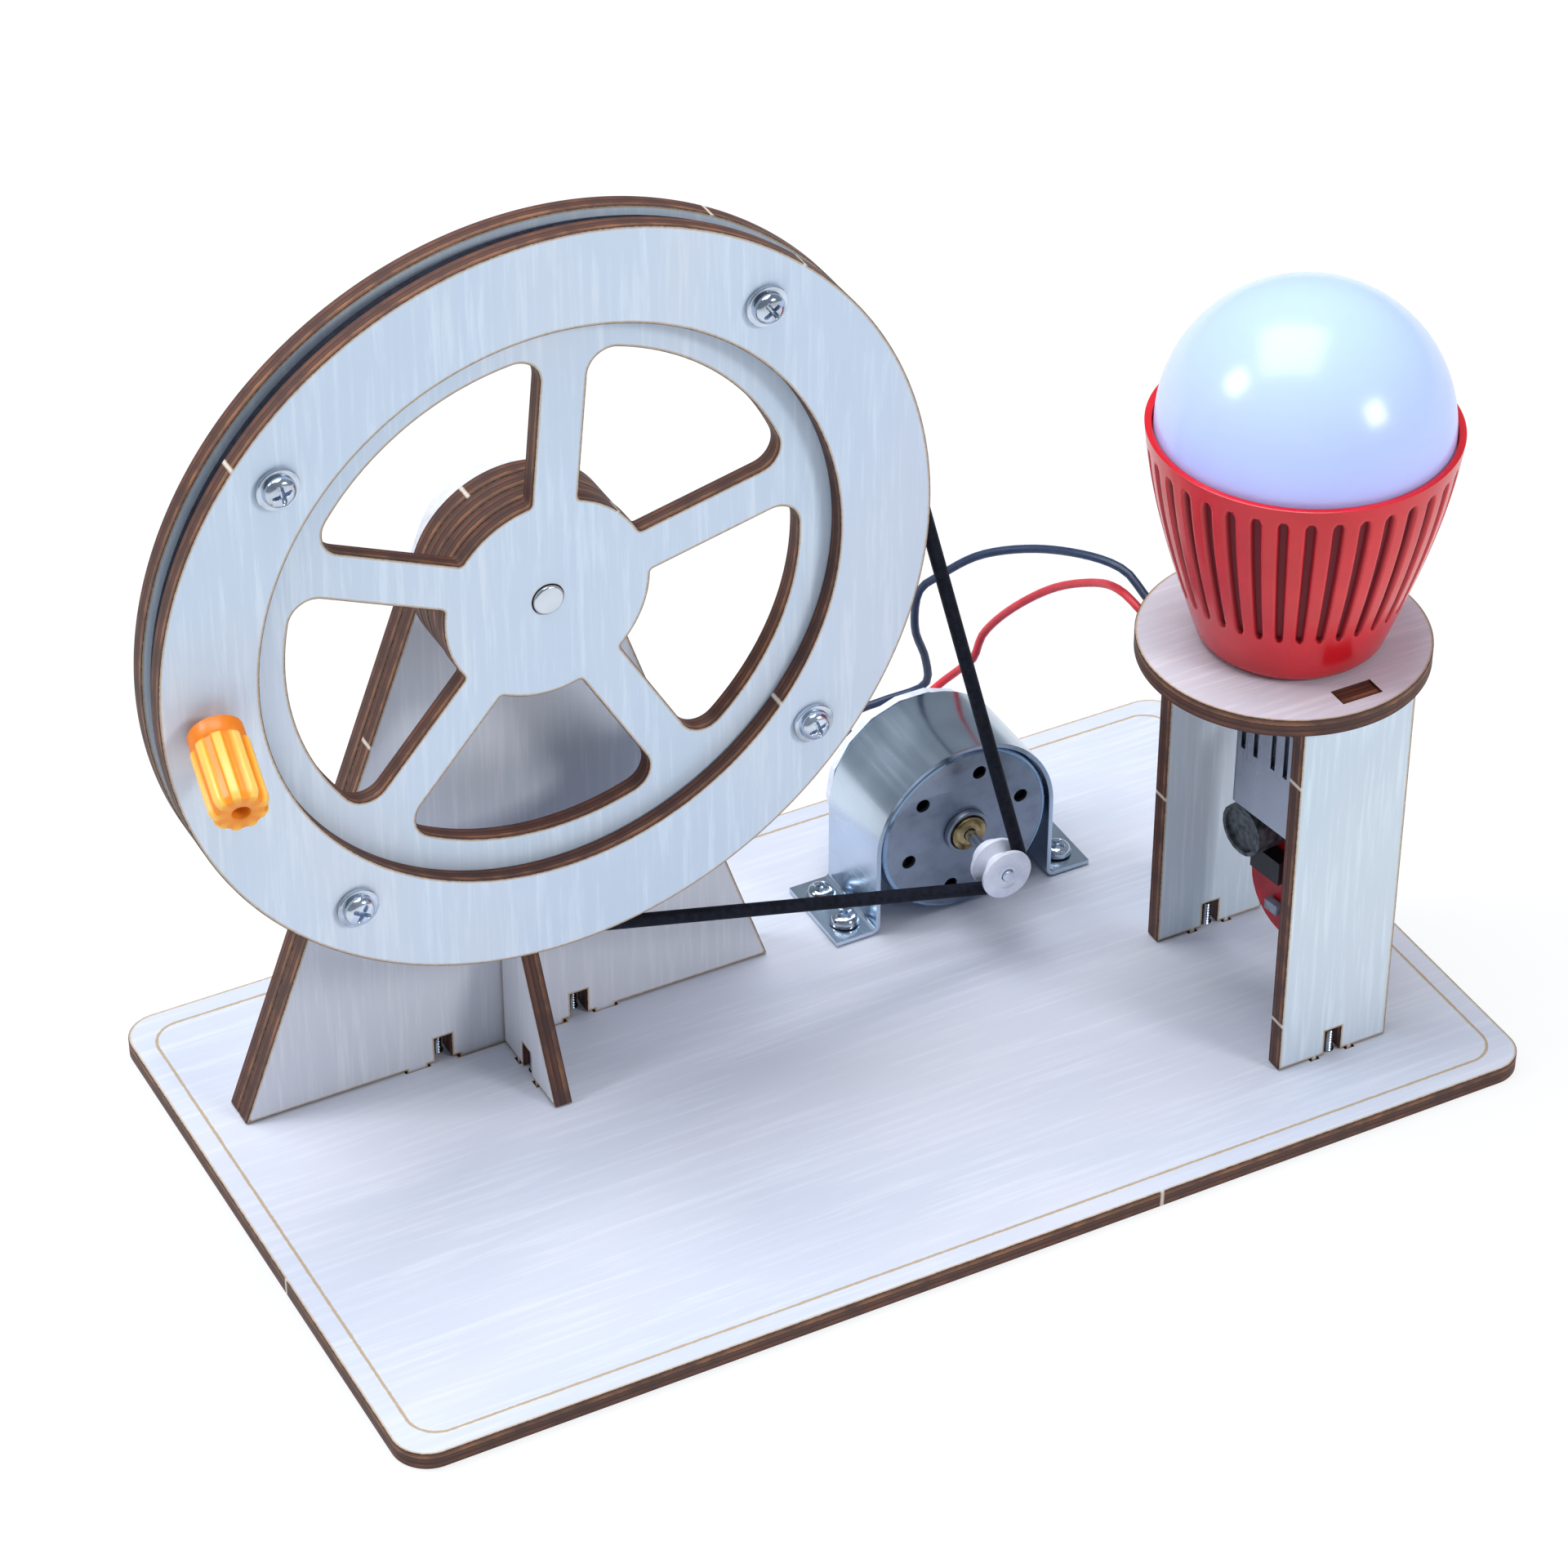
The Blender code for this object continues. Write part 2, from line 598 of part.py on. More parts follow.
# Flywheel layers; local Z points to the front, so each piece sits at its back face
crank_lean = Vector((-math.tan(CRANK_SPLAY), -1, -math.tan(CRANK_DROOP))).normalized()
crank_foot = Vector((
    WHEEL_X + CRANK_CIRCLE * math.cos(CRANK_ANGLE), WHEEL_FRONT_Y,
    WHEEL_Z + CRANK_CIRCLE * math.sin(CRANK_ANGLE)))
crank_turn = crank_lean.to_track_quat("Z", "Y").to_euler()
lean_sine = math.sqrt(1 - crank_lean.y ** 2)
lean_cosine = -crank_lean.y
ring_screw_spots = [
    on_circle(RING_SCREW_CIRCLE, RING_SCREW_ANGLE + math.tau * i / RING_SCREW_COUNT)
    for i in range(RING_SCREW_COUNT)
]


def layer_back(index):
    """The back face of a flywheel layer, counted from the front ring."""
    return WHEEL_FRONT_Y + index * LAYER + PLY


def crank_hole():
    """A rod along the crank's leaning line, through the whole flywheel."""
    reach = LAYER * 3 / lean_cosine + OVERRUN
    return turned([(0, -reach), (CRANK_SCREW_RADIUS + SLIP, -reach),
                   (CRANK_SCREW_RADIUS + SLIP, OVERRUN), (0, OVERRUN)], COARSE)


def ring_holes():
    return [circle(RING_SCREW_RADIUS + SLIP, COARSE, spot) for spot in ring_screw_spots]


def window(index):
    """One window between two spokes, with straight sides along the spokes."""
    start = SPOKE_ANGLE + math.tau * index / SPOKE_COUNT
    end = start + math.tau / SPOKE_COUNT
    inner = math.asin(SPOKE_WIDTH / 2 / HUB_RADIUS)
    outer = math.asin(SPOKE_WIDTH / 2 / WINDOW_RADIUS)
    rim = arc(WINDOW_RADIUS, start + outer, end - outer, 8)
    hub = arc(HUB_RADIUS, end - inner, start + inner, 4)
    radii = [WINDOW_FILLET] + [0] * 7 + [WINDOW_FILLET] + [HUB_FILLET] + [0] * 3 + [HUB_FILLET]
    return rounded(rim + hub, radii, 3)


for index, name in ((0, "front_ring"), (2, "rear_ring")):
    ring = place(name, plate([circle(RING_RADIUS, FINE), circle(RING_BORE, FINE)] + ring_holes(), PLY),
                 "plywood", (WHEEL_X, layer_back(index), WHEEL_Z), FRONT_FACING)
    cut(ring, name + "_crank_hole", crank_hole(), crank_foot, crank_turn)
hub_hole = circle(AXLE_RADIUS + SLIP, MEDIUM)
wheel_loops = [circle(WHEEL_RADIUS, FINE), hub_hole] + [window(i) for i in range(SPOKE_COUNT)]
spoke_wheel = place("spoke_wheel", plate(wheel_loops + ring_holes(), PLY), "plywood",
                    (WHEEL_X, layer_back(1), WHEEL_Z), FRONT_FACING)
cut(spoke_wheel, "spoke_wheel_crank_hole", crank_hole(), crank_foot, crank_turn)
for i in range(SPACER_COUNT):
    place("spacer_disc_%d" % (i + 1), plate([circle(SPACER_RADIUS, MEDIUM), hub_hole], PLY),
          "plywood", (WHEEL_X, layer_back(2 + i), WHEEL_Z), FRONT_FACING)

# Axle with its bush and rear collar
bush_back = layer_back(1 + SPACER_COUNT) + GAP + BUSH_LENGTH
place("axle_bush", plate([circle(BUSH_RADIUS, MEDIUM), hub_hole], BUSH_LENGTH), "white_plastic",
      (WHEEL_X, bush_back, WHEEL_Z), FRONT_FACING)
axle_front = layer_back(1) - PLY - AXLE_PROUD
collar_back = SUPPORT_Y + SUPPORT_DEPTH + GAP + COLLAR_LENGTH
axle_back = collar_back + AXLE_TAIL
axle_length = axle_back - axle_front
place("axle", turned([
    (0, 0), (AXLE_RADIUS - AXLE_CHAMFER, 0), (AXLE_RADIUS, AXLE_CHAMFER),
    (AXLE_RADIUS, axle_length - AXLE_CHAMFER), (AXLE_RADIUS - AXLE_CHAMFER, axle_length),
    (0, axle_length)], MEDIUM), "bright_steel", (WHEEL_X, axle_back, WHEEL_Z), FRONT_FACING)
place("rear_collar", turned([
    (AXLE_RADIUS + SLIP, 0), (COLLAR_RADIUS - COLLAR_CHAMFER, 0), (COLLAR_RADIUS, COLLAR_CHAMFER),
    (COLLAR_RADIUS, COLLAR_LENGTH - COLLAR_CHAMFER), (COLLAR_RADIUS - COLLAR_CHAMFER, COLLAR_LENGTH),
    (AXLE_RADIUS + SLIP, COLLAR_LENGTH)], MEDIUM, True), "steel",
    (WHEEL_X, collar_back, WHEEL_Z), FRONT_FACING)

# Ring screws from the front, each with its nut tightened behind
stack_back = layer_back(2)
nut_back = stack_back + GAP + NUT_HEIGHT
screw_back = nut_back + SCREW_TAIL
head_seat = screw_back - WHEEL_FRONT_Y + GAP
nut_front = SCREW_TAIL + NUT_HEIGHT
ring_screw = hexagonal(turned([
    (0, 0), (RING_SCREW_RADIUS, 0), (RING_SCREW_RADIUS, SCREW_TAIL), (NUT_RADIUS, SCREW_TAIL),
    (NUT_RADIUS, nut_front), (RING_SCREW_RADIUS, nut_front),
    (RING_SCREW_RADIUS, head_seat), (RING_FLANGE_RADIUS, head_seat),
    (RING_DOME_RADIUS, head_seat + RING_FLANGE_HEIGHT),
    (0, head_seat + RING_DOME_HEIGHT)], SCREW_SIDES), 0, nut_front + GAP, NUT_RADIUS)
place_each("ring_screw", ring_screw, "bright_steel",
           [(WHEEL_X + x, screw_back, WHEEL_Z + z) for x, z in ring_screw_spots], FRONT_FACING)

# Crank screw and its nut along the leaning line; heights are measured from the ring's face
knob_seat = KNOB_COLLAR_RADIUS * lean_sine / lean_cosine + GAP
knob_end = knob_seat + KNOB_LENGTH
knob_hole_floor = knob_end - KNOB_HOLE_DEPTH
nut_near = (stack_back - WHEEL_FRONT_Y + NUT_RADIUS * lean_sine) / lean_cosine + GAP
nut_far = nut_near + NUT_HEIGHT
crank_tail = nut_far + SCREW_TAIL
crank_screw = hexagonal(turned([
    (0, -crank_tail), (CRANK_SCREW_RADIUS, -crank_tail), (CRANK_SCREW_RADIUS, -nut_far),
    (NUT_RADIUS, -nut_far), (NUT_RADIUS, -nut_near), (CRANK_SCREW_RADIUS, -nut_near),
    (CRANK_SCREW_RADIUS, knob_hole_floor + GAP), (CRANK_HEAD_RADIUS, knob_hole_floor + GAP),
    (CRANK_HEAD_RADIUS, knob_hole_floor + GAP + CRANK_HEAD_HEIGHT),
    (0, knob_hole_floor + GAP + CRANK_HEAD_HEIGHT)], SCREW_SIDES), -crank_tail, 0, NUT_RADIUS)
place("crank_screw", crank_screw, "steel", crank_foot, crank_turn)

# Knob: a smooth collar, then a body with ribs along it and a recess for the screw's head
knob_bm = turned([
    (CRANK_SCREW_RADIUS + SLIP, knob_seat), (KNOB_COLLAR_RADIUS, knob_seat),
    (KNOB_COLLAR_RADIUS, knob_seat + KNOB_COLLAR_LENGTH),
    (KNOB_RADIUS, knob_seat + KNOB_COLLAR_LENGTH + GAP), (KNOB_RADIUS, knob_end - KNOB_END_HEIGHT),
    (KNOB_END_RADIUS, knob_end), (KNOB_HOLE_RADIUS, knob_end), (KNOB_HOLE_RADIUS, knob_hole_floor),
    (CRANK_SCREW_RADIUS + SLIP, knob_hole_floor)], KNOB_RIB_COUNT * 3, True)
for vertex in knob_bm.verts:
    flat = Vector(vertex.co.xy)
    if flat.length > (KNOB_RADIUS + KNOB_COLLAR_RADIUS) / 2:
        wave = 0.5 - 0.5 * math.cos(KNOB_RIB_COUNT * math.atan2(flat.y, flat.x))
        vertex.co.xy = flat * (1 - wave * KNOB_RIB_DEPTH / KNOB_RADIUS)
place("crank_knob", knob_bm, "orange_plastic", crank_foot, crank_turn)

# Motor can with its face holes, boss and notch
can_bm = turned([
    (MOTOR_RADIUS, -MOTOR_LENGTH), (MOTOR_RADIUS, -MOTOR_EDGE), (MOTOR_RADIUS - MOTOR_EDGE, 0),
    (MOTOR_BOSS_RADIUS, 0), (MOTOR_BOSS_RADIUS, MOTOR_BOSS_HEIGHT),
    (MOTOR_BEARING_RADIUS + SLIP, MOTOR_BOSS_HEIGHT), (MOTOR_BEARING_RADIUS + SLIP, -MOTOR_WALL),
    (MOTOR_RADIUS - MOTOR_WALL, -MOTOR_WALL - MOTOR_EDGE), (MOTOR_RADIUS - MOTOR_WALL, -MOTOR_LENGTH)],
    ROUND, True)
motor_front = (MOTOR_X, MOTOR_FRONT_Y, MOTOR_Z)
motor_can = place("motor_can", can_bm, "steel", motor_front, FRONT_FACING)
hole_depth = MOTOR_WALL + MOTOR_EDGE + OVERRUN
face_holes = [
    (*on_circle(MOTOR_HOLE_CIRCLE, MOTOR_HOLE_ANGLE + math.tau * i / MOTOR_HOLE_COUNT), -hole_depth)
    for i in range(MOTOR_HOLE_COUNT)
]
cut(motor_can, "motor_face_holes",
    repeated(plate([circle(MOTOR_HOLE_RADIUS, COARSE)], hole_depth + OVERRUN), face_holes),
    motor_front, FRONT_FACING)
cut(motor_can, "motor_notch",
    brick(-MOTOR_NOTCH_WIDTH / 2, MOTOR_RADIUS - MOTOR_NOTCH_DEPTH, -MOTOR_NOTCH_DEPTH,
          MOTOR_NOTCH_WIDTH / 2, MOTOR_RADIUS + OVERRUN, OVERRUN), motor_front, FRONT_FACING)
bearing_front = MOTOR_BOSS_HEIGHT + MOTOR_BEARING_PROUD
place("motor_front_bearing", turned([
    (SHAFT_RADIUS + SLIP, bearing_front - MOTOR_BEARING_LENGTH),
    (MOTOR_BEARING_RADIUS, bearing_front - MOTOR_BEARING_LENGTH),
    (MOTOR_BEARING_RADIUS, bearing_front), (SHAFT_RADIUS + SLIP, bearing_front)], MEDIUM, True),
    "brass", motor_front, FRONT_FACING)

# End cap closes the back, with a boss for the shaft's end and two terminals
cap_front = -MOTOR_LENGTH - GAP
cap_back = cap_front - CAP_THICKNESS
shaft_end = cap_back - CAP_BOSS_HEIGHT / 2
place("motor_end_cap", turned([
    (0, cap_back - CAP_BOSS_HEIGHT), (CAP_BOSS_RADIUS, cap_back - CAP_BOSS_HEIGHT),
    (CAP_BOSS_RADIUS, cap_back), (MOTOR_RADIUS - MOTOR_WALL, cap_back),
    (MOTOR_RADIUS, cap_back + MOTOR_WALL), (MOTOR_RADIUS, cap_front),
    (SHAFT_RADIUS + SLIP, cap_front), (SHAFT_RADIUS + SLIP, shaft_end - GAP),
    (0, shaft_end - GAP)], MEDIUM), "white_plastic", motor_front, FRONT_FACING)
terminal_back = cap_back - GAP - TERMINAL_LENGTH
place_each("motor_terminal", brick(
    -TERMINAL_WIDTH / 2, -TERMINAL_THICKNESS / 2, terminal_back,
    TERMINAL_WIDTH / 2, TERMINAL_THICKNESS / 2, cap_back - GAP), "brass",
    [(MOTOR_X - TERMINAL_OFFSET_X, MOTOR_FRONT_Y, MOTOR_Z + TERMINAL_OFFSET_Z),
     (MOTOR_X + TERMINAL_OFFSET_X, MOTOR_FRONT_Y, MOTOR_Z + TERMINAL_OFFSET_Z)], FRONT_FACING)

# Magnets, armature, commutator and brushes inside the can
magnet_outer = MOTOR_RADIUS - MOTOR_WALL - GAP
magnet_inner = magnet_outer - MAGNET_THICKNESS
magnet_back = -MOTOR_WALL - MOTOR_EDGE - GAP - MAGNET_LENGTH
for name, middle in (("magnet_left", math.pi), ("magnet_right", 0)):
    low, high = middle - MAGNET_SPAN / 2, middle + MAGNET_SPAN / 2
    magnet = plate([arc(magnet_outer, low, high, 8) + arc(magnet_inner, high, low, 8)], MAGNET_LENGTH)
    bmesh.ops.translate(magnet, verts=magnet.verts[:], vec=(0, 0, magnet_back))
    place(name, magnet, "magnet", motor_front, FRONT_FACING)
armature_loop = []
for i in range(ARMATURE_POLES):
    middle = math.pi / 2 + math.tau * i / ARMATURE_POLES
    neck_in = math.asin(POLE_NECK / 2 / ARMATURE_CORE)
    neck_out = math.asin(POLE_NECK / 2 / (ARMATURE_RADIUS - POLE_SHOE))
    armature_loop.append(on_circle(ARMATURE_CORE, middle - neck_in))
    armature_loop.append(on_circle(ARMATURE_RADIUS - POLE_SHOE, middle - neck_out))
    armature_loop.append(on_circle(ARMATURE_RADIUS - POLE_SHOE, middle - POLE_SPAN / 2))
    armature_loop += arc(ARMATURE_RADIUS, middle - POLE_SPAN / 2, middle + POLE_SPAN / 2, 8)
    armature_loop.append(on_circle(ARMATURE_RADIUS - POLE_SHOE, middle + POLE_SPAN / 2))
    armature_loop.append(on_circle(ARMATURE_RADIUS - POLE_SHOE, middle + neck_out))
    armature_loop.append(on_circle(ARMATURE_CORE, middle + neck_in))
shaft_hole = circle(SHAFT_RADIUS + SLIP, COARSE)
armature = plate([armature_loop, shaft_hole], ARMATURE_LENGTH)
armature_back = magnet_back + (MAGNET_LENGTH - ARMATURE_LENGTH) / 2
bmesh.ops.translate(armature, verts=armature.verts[:], vec=(0, 0, armature_back))
place("armature", armature, "dark_steel", motor_front, FRONT_FACING)
commutator = plate([circle(COMMUTATOR_RADIUS, COARSE), shaft_hole], COMMUTATOR_LENGTH)
commutator_back = cap_front + GAP
bmesh.ops.translate(commutator, verts=commutator.verts[:], vec=(0, 0, commutator_back))
place("commutator", commutator, "copper", motor_front, FRONT_FACING)
brush_in = COMMUTATOR_RADIUS + GAP
place_each("brush", brick(
    -BRUSH_LENGTH / 2, -BRUSH_WIDTH / 2, commutator_back,
    BRUSH_LENGTH / 2, BRUSH_WIDTH / 2, commutator_back + BRUSH_WIDTH), "dark_steel",
    [(MOTOR_X + side * (brush_in + BRUSH_LENGTH / 2), MOTOR_FRONT_Y, MOTOR_Z) for side in (-1, 1)],
    FRONT_FACING)

# Drive pulley on the shaft
pulley_half = PULLEY_GROOVE_WIDTH / 2 + PULLEY_FLANGE
groove_mid = PULLEY_GROOVE_WIDTH / 4
place("drive_pulley", turned([
    (SHAFT_RADIUS + SLIP, pulley_half), (PULLEY_FLANGE_RADIUS, pulley_half),
    (PULLEY_FLANGE_RADIUS, pulley_half - PULLEY_FLANGE), (PULLEY_GROOVE_RADIUS, groove_mid),
    (PULLEY_GROOVE_RADIUS, -groove_mid), (PULLEY_FLANGE_RADIUS, PULLEY_FLANGE - pulley_half),
    (PULLEY_FLANGE_RADIUS, -pulley_half), (PULLEY_BOSS_RADIUS, -pulley_half),
    (PULLEY_BOSS_RADIUS, -pulley_half - PULLEY_BOSS_LENGTH),
    (SHAFT_RADIUS + SLIP, -pulley_half - PULLEY_BOSS_LENGTH)], MEDIUM, True), "white_plastic",
    (MOTOR_X, PULLEY_BELT_Y, MOTOR_Z), FRONT_FACING)
shaft_front_y = PULLEY_BELT_Y - pulley_half - SHAFT_PROUD
shaft_front = MOTOR_FRONT_Y - shaft_front_y
place("motor_shaft", turned([
    (0, shaft_end), (SHAFT_RADIUS, shaft_end), (SHAFT_RADIUS, shaft_front), (0, shaft_front)],
    COARSE), "bright_steel", motor_front, FRONT_FACING)

# Belt: round the flywheel's groove, then straight to the pulley, round it and back
wheel_belt = WHEEL_RADIUS + GAP + BELT_RADIUS
pulley_belt = PULLEY_GROOVE_RADIUS + SLIP + BELT_RADIUS
wheel_belt_y = WHEEL_FRONT_Y + LAYER + PLY / 2
centres = Vector((MOTOR_X - WHEEL_X, MOTOR_Z - WHEEL_Z))
line_angle = math.atan2(centres.y, centres.x)
touch = math.acos((wheel_belt - pulley_belt) / centres.length)
belt_points = []
for x, z in arc(wheel_belt, line_angle + touch, line_angle - touch + math.tau, 30, (WHEEL_X, WHEEL_Z)):
    belt_points.append(Vector((x, wheel_belt_y, z)))
pulley_points = [
    Vector((x, PULLEY_BELT_Y, z))
    for x, z in arc(pulley_belt, line_angle - touch, line_angle + touch, 6, (MOTOR_X, MOTOR_Z))
]
lower_run = [belt_points[-1].lerp(pulley_points[0], i / 3) for i in (1, 2)]
upper_run = [pulley_points[-1].lerp(belt_points[0], i / 3) for i in (1, 2)]
belt_points += lower_run + pulley_points + upper_run


def cord(name, points, radius, finish, roundness=2, cyclic=False):
    """A round cord along its points."""
    curve = bpy.data.curves.new(name, "CURVE")
    curve.dimensions = "3D"
    curve.bevel_depth = radius
    curve.bevel_resolution = roundness
    curve.use_fill_caps = not cyclic
    spline = curve.splines.new("POLY")
    spline.points.add(len(points) - 1)
    for point, target in zip(points, spline.points):
        target.co = (*point, 1)
    spline.use_cyclic_u = cyclic
    spline.use_smooth = True
    curve.materials.append(look(finish))
    made = bpy.data.objects.new(name, curve)
    bpy.context.scene.collection.objects.link(made)


cord("drive_belt", belt_points, BELT_RADIUS, "black_rubber", cyclic=True)

# Saddle bracket: two feet, straight sides and a half-round top
foot_top = GAP + PLY + BRACKET_THICKNESS
inner_radius = BRACKET_OUTER - BRACKET_THICKNESS
foot_out = BRACKET_OUTER + BRACKET_FOOT
bracket_loop = [(foot_out, foot_top), (BRACKET_OUTER, foot_top)]
bracket_loop += arc(BRACKET_OUTER, 0, math.pi, 16, (0, MOTOR_Z))
bracket_loop += [(-BRACKET_OUTER, foot_top), (-foot_out, foot_top), (-foot_out, PLY + GAP)]
bracket_loop += [(-inner_radius, PLY + GAP)]
bracket_loop += arc(inner_radius, math.pi, 0, 16, (0, MOTOR_Z))
bracket_loop += [(inner_radius, PLY + GAP), (foot_out, PLY + GAP)]
bracket = place("motor_bracket", plate([bracket_loop], BRACKET_WIDTH), "bright_steel",
                (MOTOR_X, BRACKET_FRONT_Y + BRACKET_WIDTH, 0), FRONT_FACING)
screw_hole = plate([circle(PAN_SCREW_RADIUS + GAP, COARSE)], BRACKET_THICKNESS + OVERRUN * 2)
bmesh.ops.translate(screw_hole, verts=screw_hole.verts[:], vec=(0, 0, PLY + GAP - OVERRUN))
cut(bracket, "bracket_screw_holes", repeated(screw_hole, BRACKET_SCREWS))
pan_seat = foot_top + GAP
place_each("bracket_screw", turned([
    (0, PLY - PAN_SCREW_DEPTH), (PAN_SCREW_RADIUS, PLY - PAN_SCREW_DEPTH),
    (PAN_SCREW_RADIUS, pan_seat), (PAN_HEAD_RADIUS, pan_seat),
    (PAN_HEAD_RADIUS, pan_seat + PAN_HEAD_HEIGHT / 2),
    (PAN_HEAD_RADIUS * PAN_CROWN_RADIUS_SHARE, pan_seat + PAN_HEAD_HEIGHT * PAN_CROWN_HEIGHT_SHARE),
    (0, pan_seat + PAN_HEAD_HEIGHT)], SCREW_SIDES), "bright_steel", BRACKET_SCREWS)

# Lamp stand: two legs with tabs up through the disc
leg_top = DISC_Z - GAP
tab_top = DISC_Z + PLY - TAB_RECESS
half_leg = LEG_WIDTH / 2
half_top = LEG_TOP_TAB / 2
leg_loop = foot_path(-half_leg, half_leg, -LEG_TAB / 2, LEG_TAB / 2, [0])
leg_loop += [(half_leg, leg_top), (half_top, leg_top), (half_top, tab_top), (-half_top, tab_top)]
leg_loop += [(-half_top, leg_top), (-half_leg, leg_top)]
for name, front in (("front_leg", FRONT_LEG_Y), ("rear_leg", REAR_LEG_Y)):
    place(name, plate([leg_loop], PLY), "plywood", (LEG_X, front + PLY, 0), FRONT_FACING)


def neck_loop(grow=0.0):
    """The rounded outline of the lamp's neck, turned as the lamp stands on the disc."""
    half_x, half_y = NECK_DEPTH / 2 + grow, NECK_WIDTH / 2 + grow
    loop = rounded(box_loop(-half_x, -half_y, half_x, half_y), NECK_CORNER, 3)
    turn = Matrix.Rotation(LAMP_TURN, 2)
    return [tuple(turn @ Vector(point)) for point in loop]


neck_hole = [(x + LAMP_X - DISC_X, y + LAMP_Y - DISC_Y) for x, y in neck_loop(GAP)]
disc_loops = [circle(DISC_RADIUS, FINE), neck_hole]
for leg_y in (FRONT_LEG_MID_Y, REAR_LEG_MID_Y):
    middle = (LEG_X - DISC_X, leg_y - DISC_Y)
    reach = (half_top + TAB_CLEARANCE, PLY / 2 + TAB_CLEARANCE)
    disc_loops.append(box_loop(middle[0] - reach[0], middle[1] - reach[1],
                               middle[0] + reach[0], middle[1] + reach[1]))
place("lamp_disc", plate(disc_loops, PLY), "plywood", (DISC_X, DISC_Y, DISC_Z))

# Lamp cup: a ribbed shell that swells to its rim, with a neck down through the disc
def cup_radius(height):
    """Outer radius of the cup: it opens steadily and rounds to upright at the rim."""
    share = height / CUP_HEIGHT
    swell_share = CUP_SWELL_SHARE * math.sin(share * math.pi / 2) + (1 - CUP_SWELL_SHARE) * share
    return CUP_BASE_RADIUS + (CUP_RIM_RADIUS - CUP_BASE_RADIUS) * swell_share


slot_high = CUP_HEIGHT - CUP_SLOT_TOP
outer_heights = [CUP_EDGE, CUP_SLOT_LOW, CUP_SLOT_LOW + CUP_SLOT_DEPTH]
outer_heights.append((CUP_SLOT_LOW + slot_high) / 2)
outer_heights += [slot_high - CUP_SLOT_DEPTH, slot_high, CUP_HEIGHT]
seat_radius = DOME_RADIUS + GAP
seat_height = CUP_HEIGHT - CUP_SEAT_DEPTH
cup_profile = [(0, 0), (CUP_BASE_RADIUS - CUP_EDGE, 0)]
cup_profile += [(cup_radius(height), height) for height in outer_heights]
cup_profile += [(seat_radius, CUP_HEIGHT), (seat_radius, seat_height)]
cup_profile += [(cup_radius(height) - CUP_WALL, height)
                for height in (seat_height, CUP_FLOOR)]
cup_profile.append((0, CUP_FLOOR))
cup_bm = turned(cup_profile, CUP_SLOT_COUNT * 3)
for vertex in cup_bm.verts:
    flat = Vector(vertex.co.xy)
    height = vertex.co.z
    turn_step = round(math.atan2(flat.y, flat.x) / math.tau * CUP_SLOT_COUNT * 3)
    if flat.length > CUP_BASE_RADIUS / 2 and turn_step % 3:
        slot_edge_share = CUP_SLOT_SHARE / 2 if turn_step % 3 == 1 else -CUP_SLOT_SHARE / 2
        turn = (round(turn_step / 3) + slot_edge_share) / CUP_SLOT_COUNT * math.tau
        vertex.co.xy = flat.length * Vector((math.cos(turn), math.sin(turn)))
    in_band = CUP_SLOT_LOW + GAP < height < slot_high - GAP
    if turn_step % 3 == 0 and in_band and flat.length > cup_radius(height) - CUP_WALL / 2:
        vertex.co.xy = flat * (1 - CUP_SLOT_DEPTH / flat.length)
lamp_place = (LAMP_X, LAMP_Y, LAMP_Z)
lamp_cup = place("lamp_cup", cup_bm, "red_plastic", lamp_place)
socket_mouth = PLY + SOCKET_BOTTOM + SOCKET_HEIGHT
neck_bottom = socket_mouth + GAP
neck_bm = plate([neck_loop()], LAMP_Z - neck_bottom + CUP_FLOOR / 2)
cut(lamp_cup, "lamp_neck", neck_bm, (LAMP_X, LAMP_Y, neck_bottom), None, "UNION")

# Light board on the cup's seat and the milky dome over it
board_top = seat_height - DOME_SKIRT + CUP_SEAT_DEPTH - GAP
board_radius = cup_radius(board_top - LIGHT_BOARD_THICKNESS) - CUP_WALL - GAP
place("light_board", turned([
    (0, board_top - LIGHT_BOARD_THICKNESS), (board_radius, board_top - LIGHT_BOARD_THICKNESS),
    (board_radius, board_top), (LED_RADIUS, board_top), (LED_RADIUS, board_top + LED_HEIGHT / 2),
    (LED_RADIUS * LED_CROWN_SHARE, board_top + LED_HEIGHT), (0, board_top + LED_HEIGHT)], COARSE),
    "white_plastic", lamp_place)
dome_steps = 5
dome_inner = DOME_RADIUS - DOME_WALL
dome_profile = [(DOME_RADIUS, CUP_HEIGHT - DOME_SKIRT)]
dome_profile += arc(DOME_RADIUS, 0, math.pi / 2, dome_steps, (0, CUP_HEIGHT))[:-1]
dome_profile += [(0, CUP_HEIGHT + DOME_RADIUS), (0, CUP_HEIGHT + dome_inner)]
dome_profile += arc(dome_inner, math.pi / 2, 0, dome_steps, (0, CUP_HEIGHT))[1:]
dome_profile += [(dome_inner, CUP_HEIGHT - DOME_SKIRT)]
outside = dome_profile[:dome_steps + 2]
inside = dome_profile[dome_steps + 2:]
place("lamp_dome", turned(inside + outside, ROUND), "milk_plastic", lamp_place)

